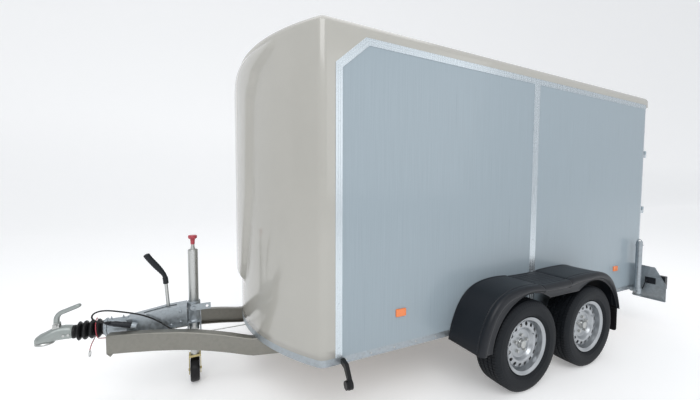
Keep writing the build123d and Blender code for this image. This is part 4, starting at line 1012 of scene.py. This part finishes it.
side_outline = [(HOUSING_Y, 400.0), (HOUSING_Y, 496.0), (HOUSING_Y + 214.0, 530.0), (HOUSING_REAR, 536.0),
                (HOUSING_REAR, 400.0)]
side_plate = prism(side_outline, (45.0, 50.0), "x")
housing_parts = [side_plate, mirrored(side_plate), top_strip((-46.0, 46.0), HOUSING_Y + 1.0, -1842.0),
                 top_strip((-46.0, 46.0), -1662.0, HOUSING_REAR), top_strip((12.0, 46.0), -1842.0, -1662.0),
                 top_strip((-46.0, -12.0), -1842.0, -1662.0), box_part((-46.0, 46.0), (HOUSING_Y, HOUSING_Y + 5.0),
                                                            (400.0, 494.0))]
housing_parts.append(turned([(-2045.0, 25.5), (-2045.0, 42.0), (-2042.0, 45.0), (-2038.0, 45.5), (-2037.0, 50.5),
                             (-2035.0, 52.0), (-2027.0, 52.0), (-2025.0, 50.5), (-2024.0, 45.5), (-1934.0, 45.0),
                             (-1927.0, 48.0), (-1923.0, 48.0), (-1923.0, 25.5)], 72, (0.0, 0.0, SHAFT_Z), "y",
                             closed=True))
for y in (-2008.0, -1948.0):
    housing_parts.append(turned([(44.0, 5.0), (50.0, 5.0), (51.0, 3.0), (56.0, 2.4), (57.0, 3.2), (59.0, 2.4), (59.5,
                         1.0)],
                                12, (0.0, y, SHAFT_Z), "z"))
for x in (-1, 1):
    for y, z in ((-1692.0, 420.0), (-1880.0, 430.0), (-1640.0, 430.0), (-1640.0, 500.0)):
        bolt = turned([(48.0, 9.5), (50.5, 9.5), (51.0, 8.0), (54.5, 8.0), (55.5, 6.5), (55.8, 2.0)], 6, (0, y, z),
                      "x")
        housing_parts.append(bolt if x > 0 else mirrored(bolt))
cup_path = PLUG_END + np.array([-0.02, 0.0, 0.02, 0.10, 0.17, 0.205, 0.22])[:, None] * plug_line
cup_radii = np.array([18.6, 19.4, 19.2, 19.0, 18.0, 13.0, 5.0])
housing_parts.append(swept(cup_path, circle(1.0, 32), np.column_stack([cup_radii, cup_radii])))
housing_parts.append(turned([(-1618.0, 6.0), (-1617.0, 8.5), (-1611.0, 8.8), (-1610.0, 10.5), (-1603.0, 10.5),
                             (-1602.0, 9.0), (-1600.0, 9.0)], 24, (120.0, 0.0, 399.0), "y"))
add_piece("overrun_body", housing_parts, galvanised, "chassis", ["overrun_housing"], crease=32.0,
          bevel=1.6)


# Bellows: black rubber folds between the coupling head and the neck, riding with the shaft as one piece
fold_y = np.linspace(0.0, 1.0, 121)
fold_wave = np.abs(np.sin(np.pi * (fold_y * 4.6 - 0.35))) ** 0.8
fold_radius = 34.0 + 20.0 * fold_wave * smooth_step(0.08, 0.2, fold_y) * (1 - 0.5 * smooth_step(0.94, 1.0, fold_y))
fold_radius += 4.0 * (1.0 - smooth_step(0.06, 0.10, fold_y))
bellows_profile = np.column_stack([-2189.0 + 143.0 * fold_y, fold_radius])
bellows_profile = np.concatenate([bellows_profile, [(-2046.0, 27.0), (-2189.0, 27.0)]])
bellows_piece = add_piece("rubber_bellows", [turned(bellows_profile, 72, (0.0, 0.0, SHAFT_Z), "y", closed=True)],
                          rubber,
                          "overrun_shaft", ["bellows"], crease=60.0)
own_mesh(bellows_piece)


# Coupling head: a cast and zinc plated cup over the tow ball with a flared rim, rising to a clamp round the shaft
cast_zinc = finish_material("cast_zinc", (0.34, 0.37, 0.36), 0.45, metal=0.7, stretch=(250, 250, 250), tint=0.2,
                            bump=0.5, depth=0.0006)
head_y = np.concatenate([-2318.0 - 42.0 * np.cos(np.linspace(0.06, np.pi / 2, 12)), np.linspace(-2306.0, -2190.0,
                        22)])
head_half = np.where(head_y < -2318.0, np.sqrt(np.clip(42.0 ** 2 - (head_y + 2318.0) ** 2, 1.0, None)),
                     np.interp(head_y, [-2318, -2290, -2262, -2235, -2192, -2190], [42, 40.5, 35.5, 34, 34, 32]))
head_top = np.interp(head_y, [-2360, -2352, -2338, -2318, -2296, -2272, -2250, -2226, -2196, -2190],
                     [440, 454, 465, 473, 484, 495, 499, 500, 494, 489])
head_low = np.interp(head_y, [-2360, -2290, -2270, -2190], [417, 417, 424, 422])
across_turn = np.linspace(0.0, 2 * np.pi, 56, endpoint=False)
power = 2.0 / 2.7
section_x = np.sign(np.cos(across_turn)) * np.abs(np.cos(across_turn)) ** power
section_z = np.sign(np.sin(across_turn)) * np.abs(np.sin(across_turn)) ** power
head_points = np.stack([head_half[:, None] * section_x, np.repeat(head_y[:, None], 56, 1),
                        (head_top + head_low)[:, None] / 2 + (head_top - head_low)[:, None] / 2 * section_z], -1)
head_body = outward(head_points.reshape(-1, 3),
                    list(grid_quads(len(head_y), 56, wrap_columns=True)) + ring_caps(len(head_y), 56))
head_rim = turned([(412.0, 25.6), (412.0, 43.0), (414.0, 44.0), (419.5, 44.0), (422.0, 42.0), (426.0, 39.0),
                   (426.0, 25.6)], 72, (0.0, -2316.0, 0.0), "z", closed=True)
head_parts = [head_rim]
for x in (-1, 1):
    ear = prism([(-2278.0, 486.0), (-2246.0, 486.0), (-2248.0, 518.0), (-2256.0, 524.0), (-2268.0, 524.0),
                 (-2276.0, 518.0)], (13.0, 20.0), "x")
    head_parts.append(ear if x > 0 else mirrored(ear))
head_parts.append(turned([(-25.0, 8.0), (-21.0, 8.0), (-21.0, 5.0), (21.0, 5.0), (21.0, 9.0), (27.0, 9.0), (28.0,
                  7.0)], 6,
                         (0.0, -2262.0, 512.0), "x"))
for y in (-2226.0, -2204.0):
    head_parts.append(turned([(-39.0, 7.0), (-37.5, 8.5), (-32.0, 8.5), (32.0, 8.5), (37.5, 8.5), (39.0, 7.0)], 6,
                             (0.0, y, 452.0), "x"))
head_shell = add_piece("coupling_body", [head_body], cast_zinc, "overrun_shaft", (), crease=50.0)
cutter_points, cutter_faces = turned([(380.0, 25.4), (440.0, 25.4), (446.0, 20.0), (447.0, 2.0)], 48,
                                     (0.0, -2318.0, 0.0), "z")
cutter = make_piece("ball_cutter", cutter_points * MM, cutter_faces, cast_zinc)
cut = head_shell.modifiers.new("socket", "BOOLEAN")
cut.object = cutter
cut.solver = "EXACT"
bpy.context.view_layer.update()
cut_mesh = bpy.data.meshes.new_from_object(head_shell.evaluated_get(bpy.context.evaluated_depsgraph_get()))
head_shell.modifiers.clear()
head_shell.data = cut_mesh
bpy.data.objects.remove(cutter)
add_piece("coupling_fittings", head_parts, zinc, "overrun_shaft", ["coupling_head"], crease=32.0,
          bevel=1.0)

# Coupling handle: a pressed lever that stands up from its pivot and bends back over the head
handle_path = smooth_path([(0.0, -2262.0, 504.0), (0.0, -2262.0, 528.0), (0.0, -2259.0, 553.0), (0.0, -2245.0, 574.0),
                           (0.0, -2215.0, 586.0), (0.0, -2182.0, 598.0), (0.0, -2150.0, 610.0)], 44)
handle_share = np.linspace(0.0, 1.0, 44)
handle_size = np.column_stack([np.interp(handle_share, [0, 0.3, 0.5, 0.9, 0.97, 1.0], [13, 14, 15, 16, 14, 6]),
                               np.interp(handle_share, [0, 0.1, 0.5, 0.9, 0.97, 1.0], [11, 13, 12, 11.5, 10, 5])])
handle_turn = np.linspace(0.0, 2 * np.pi, 32, endpoint=False)
handle_section = np.column_stack([np.sign(np.cos(handle_turn)) * np.abs(np.cos(handle_turn)) ** 0.7,
                                  np.sign(np.sin(handle_turn)) * np.abs(np.sin(handle_turn)) ** 0.7])
add_piece("coupling_lever", [swept(handle_path, handle_section, handle_size)], cast_zinc, "coupling_handle",
          ["coupling_handle"], crease=60.0)


# Handbrake: a flat plate on its pivot, a bright tube above it, and a moulded grip that bends forward over the top
lever_plate = prism([(-1704.0, 337.0), (-1680.0, 337.0), (-1672.0, 420.0), (-1690.0, 500.0), (-1694.0, 516.0),
                     (-1716.0, 518.0), (-1722.0, 500.0), (-1712.0, 420.0)], (-5.0, 5.0), "x")
lever_tube = swept(np.array([(0.0, -1707.0, 496.0), (0.0, -1712.0, 570.0), (0.0, -1717.0, 644.0), (0.0, -1722.5,
                   718.0)]),
                   circle(10.0, 28))
lever_pin = turned([(-8.0, 6.0), (54.0, 6.0), (55.0, 5.0)], 16, (0.0, -1692.0, 345.0), "x")
add_piece("handbrake_arm", [lever_plate, lever_tube, lever_pin], zinc, "handbrake", ["handbrake_lever"],
          crease=35.0, bevel=1.0)
grip_path = smooth_path([(0.0, -1719.5, 678.0), (0.0, -1722.0, 708.0), (0.0, -1728.0, 734.0), (0.0, -1745.0, 763.0),
                         (0.0, -1772.0, 800.0), (0.0, -1800.0, 838.0), (0.0, -1818.0, 866.0), (0.0, -1824.0, 878.0)],
                         90)
grip_share = np.linspace(0.0, 1.0, 90)
grip_size = np.interp(grip_share, [0, 0.01, 0.20, 0.22, 0.30, 0.40, 0.55, 0.75, 0.90, 0.97, 1.0],
                      [13.5, 15.5, 15.5, 13.0, 13.0, 15.0, 18.5, 18.0, 18.5, 15.0, 6.0])
grip_ridges = 0.9 * np.sin(grip_share * 2 * np.pi * 20) * smooth_step(0.36, 0.40,
                                                            grip_share) * (1 - smooth_step(0.86, 0.9, grip_share))
grip_size = np.column_stack([grip_size * 0.86 + grip_ridges * 0.5, grip_size + grip_ridges])
add_piece("handbrake_handle", [swept(grip_path, circle(1.0, 32), grip_size)], black_plastic, "handbrake",
          ["handbrake_grip"], crease=60.0)


# Jockey wheel: a plated outer tube with a rolled top, a screw with a red knob, and a rubber tyred steel roller
JOCKEY_Y = -1562.0
add_piece("jockey_mast", [turned([(276.0, 26.2), (276.0, 29.5), (277.0, 30.0), (880.0, 30.0), (884.0, 30.6), (886.0,
          29.5),
                                  (886.0, 26.2)], 64, (0.0, JOCKEY_Y, 0.0), "z", closed=True)], zinc, "jockey_outer",
          ["jockey_outer_tube"], crease=30.0)
add_piece("jockey_screw", [turned([(500.0, 8.0), (885.0, 8.0), (885.0, 25.0), (889.0, 26.0), (891.0, 24.0), (892.0,
          13.0),
                                   (906.0, 13.0), (907.0, 11.0), (922.0, 11.0), (923.0, 9.0)], 40,
                                  (0.0, JOCKEY_Y, 0.0), "z")], zinc, "jockey_crank", ["jockey_crank"],
          crease=30.0)


def knob_lobes(along, angle):
    """Six shallow finger hollows round the knob's wide head."""
    return -1.6 * (0.5 + 0.5 * np.cos(6 * angle)) * ((along > 960.0) & (along < 981.0))


add_piece("jockey_knob", [turned([(921.0, 10.0), (922.0, 12.0), (928.0, 13.0), (944.0, 13.5), (954.0, 15.0), (958.0,
          20.0),
                                  (961.0, 25.0), (964.0, 26.6), (976.0, 27.0), (980.0, 26.0), (982.5, 22.0), (983.0,
                                                            12.0)], 72,
                                 (0.0, JOCKEY_Y, 0.0), "z", wobble=knob_lobes)], red_plastic, "jockey_crank", (),
          crease=40.0)
roller_profile = [(-14.0, 46.0), (-24.0, 48.0), (-28.0, 56.0), (-28.5, 66.0), (-26.0, 74.0), (-20.0, 78.5), (-9.0,
                  80.0),
                  (9.0, 80.0), (20.0, 78.5), (26.0, 74.0), (28.5, 66.0), (28.0, 56.0), (24.0, 48.0), (14.0, 46.0)]
hub_profile = [(-28.0, 9.0), (-28.0, 16.0), (-12.0, 18.0), (-8.0, 40.0), (-20.0, 45.0), (-24.0, 49.0), (-13.0, 47.5),
               (13.0, 47.5), (24.0, 49.0), (20.0, 45.0), (8.0, 40.0), (12.0, 18.0), (28.0, 16.0), (28.0, 9.0)]
add_piece("jockey_roller", [turned(roller_profile, 80, (0.0, JOCKEY_Y, 80.0), "y", closed=True)], rubber,
          "jockey_wheel",
          ["jockey_wheel"], crease=30.0)
add_piece("jockey_roller_hub", [turned(hub_profile, 64, (0.0, JOCKEY_Y, 80.0), "y", closed=True)], zinc,
          "jockey_wheel",
          (), crease=30.0)
clamp_parts = [box_part((-52.0, 52.0), (JOCKEY_Y - 38.0, JOCKEY_Y + 42.0), (410.0, 418.0)),
               turned([(418.0, 30.3), (418.0, 44.0), (424.0, 40.0), (432.0, 38.0), (500.0, 37.0), (504.0, 39.0),
                      (540.0, 39.0),
                       (546.0, 37.0), (546.0, 30.3)], 64, (0.0, JOCKEY_Y, 0.0), "z", closed=True),
               box_part((34.0, 46.0), (JOCKEY_Y - 12.0, JOCKEY_Y + 12.0), (502.0, 538.0)),
               box_part((50.0, 62.0), (JOCKEY_Y - 12.0, JOCKEY_Y + 12.0), (502.0, 538.0)),
               turned([(30.0, 6.0), (76.0, 6.0), (76.5, 9.5), (82.0, 9.5), (82.5, 8.0)], 16, (0.0, JOCKEY_Y, 520.0),
                      "x")]
for x in (-42.0, 42.0):
    for y in (-28.0, 32.0):
        clamp_parts.append(turned([(418.0, 9.5), (420.0, 9.5), (420.5, 8.0), (427.0, 8.0), (428.0, 6.5)], 6,
                                  (x, JOCKEY_Y + y, 0.0), "z"))
add_piece("jockey_holder", clamp_parts, galvanised, "chassis", ["jockey_clamp"], crease=32.0, bevel=1.2)


# Rear doors: two leaves in the sides' skin, each with an aluminium border screwed round it. Three knuckle hinges
# a side carry them, and their straps are bolted through the leaf.
for side, turn in (("left", lambda part: part), ("right", mirrored)):
    door_edge = [box_part((6.0, 782.0), (2325.0, 2328.0), (z, z + 28.0)) for z in (398.0, 2030.0)]
    door_edge += [box_part((x, x + 26.0), (2325.0, 2328.0), (426.0, 2030.0)) for x in (6.0, 756.0)]
    add_piece(f"door_border_{side}", [turn(part) for part in door_edge], aluminium, f"door_{side}", (),
              crease=32.0, bevel=0.8)
    strap_bolts = []
    for z in (560.0, 1100.0, 1631.0):
        for x in (652.0, 690.0, 728.0):
            strap_bolts.append(turned([(2328.5, 8.5), (2330.0, 8.5), (2332.5, 7.0), (2334.0, 3.0)], 20, (x, 0.0,
                               z + 16.0), "y"))
    add_piece(f"strap_bolts_{side}", [turn(part) for part in strap_bolts], zinc, f"door_{side}", (),
              crease=32.0)

# Rear lights: three raised red lenses on each lamp body, for the indicator, the brake light and the tail light
red_lens = finish_material("red_lens", (0.45, 0.015, 0.015), 0.2, coat=0.7, stretch=(300, 300, 300), dust=0.1)
for side, turn in (("left", lambda part: part), ("right", mirrored)):
    lenses = [box_part(x, (2274.0, 2283.0), (404.0, 502.0)) for x in ((866.0, 918.0), (923.0, 971.0), (976.0,
              1028.0))]
    add_piece(f"lamp_lenses_{side}", [turn(part) for part in lenses], red_lens, "chassis", (),
              crease=32.0,
              bevel=2.0)

# Light boards: folded galvanised plates; the black back of the lamp fills the cut-out and its cable leaves there
for side, turn in (("left", lambda part: part), ("right", mirrored)):
    lamp_cable = smooth_path([(915.0, 2236.0, 452.0), (909.0, 2222.0, 448.0), (903.0, 2212.0, 425.0),
                              (896.0, 2208.0, 392.0), (884.0, 2214.0, 366.0), (868.0, 2228.0, 352.0)], 40)
    add_piece(f"lamp_back_{side}", [turn(box_part((893.5, 970.5), (2233.0, 2241.0), (424.5, 482.5))),
                                    turn(swept(lamp_cable, circle(4.0, 14)))], black_plastic, "chassis", (),
              crease=35.0, bevel=1.0)
    board_parts = [box_part((812.0, 1045.0), (2224.0, 2236.0), (285.0, 289.0))]
    for x, z in ((842.0, 560.0), (842.0, 470.0), (842.0, 310.0), (1026.0, 310.0), (1012.0, 470.0), (930.0, 555.0)):
        board_parts.append(turned([(2236.5, 6.5), (2234.0, 6.5), (2231.5, 5.0), (2231.0, 2.0)], 20, (x, 0.0, z), "y"))
    add_piece(f"board_lip_{side}", [turn(part) for part in board_parts], galvanised, "chassis", (),
              crease=32.0, bevel=0.8)

# Corner props: galvanised tubes that slide down through their clamps, with a stop collar, a bright cap on top and
# a pressed foot below.
for side, turn in (("left", lambda part: part), ("right", mirrored)):
    tube = turned([(323.0, 12.0), (320.0, 33.0), (315.0, 34.0), (315.0, 36.0), (320.0, 36.0), (324.0, 26.0), (327.0,
                  24.0),
                   (774.5, 24.0), (775.0, 28.0), (777.0, 29.0), (783.0, 29.0), (785.0, 28.0), (785.5, 24.0), (808.0,
                                                            24.0),
                   (813.0, 22.0), (815.0, 17.0), (815.0, 8.0)], 56, (870.0, 2158.0, 0.0), "z")
    bail_turn = np.linspace(0.0, np.pi, 25)
    bail = swept(np.column_stack([870.0 + 20.0 * np.cos(bail_turn), np.full(25, 2158.0),
                 806.0 + 26.0 * np.sin(bail_turn)]),
                 circle(3.5, 12))
    add_piece(f"prop_tube_{side}", [turn(tube), turn(bail)], galvanised, f"prop_leg_{side}", [f"prop_leg_{side}"],
              crease=32.0)


# Finishes of the parts that keep their CAD shape
side_skin = finish_material("side_skin", (0.295, 0.355, 0.395), 0.30, coat=0.15, stretch=(160, 160, 2.5), tint=0.22,
                            swing=0.12, bump=0.12, depth=0.0006, dust=0.12)
plywood = finish_material("plywood", (0.33, 0.24, 0.16), 0.6, stretch=(60, 3, 60), tint=0.4, dust=0.1)
yellow_zinc = finish_material("yellow_zinc", (0.55, 0.46, 0.22), 0.35, metal=0.85, stretch=(40, 40, 40), tint=0.3)
NODE_FINISH = {
    "perimeter_rail": galvanised, "underframe": galvanised, "axle_tubes": galvanised,
    "floor_panel": plywood, "side_panel": side_skin,
    "rear_frame": aluminium, "marker_lamps": rubber,
    "light_boards": galvanised, "tail_lamps": black_plastic,
    "jockey_clamp": galvanised, "prop_clamps": galvanised, "door": side_skin, "lock_rod": zinc,
    "drawbar_shaft": zinc,
    "brake_rod": zinc,
    "jockey_inner_tube": zinc, "jockey_fork": yellow_zinc,
    "swing_arm": galvanised,
}
for node_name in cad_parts:
    for start in sorted(NODE_FINISH, key=len, reverse=True):
        if node_name.startswith(start):
            paint_node(node_name, NODE_FINISH[start])
            break
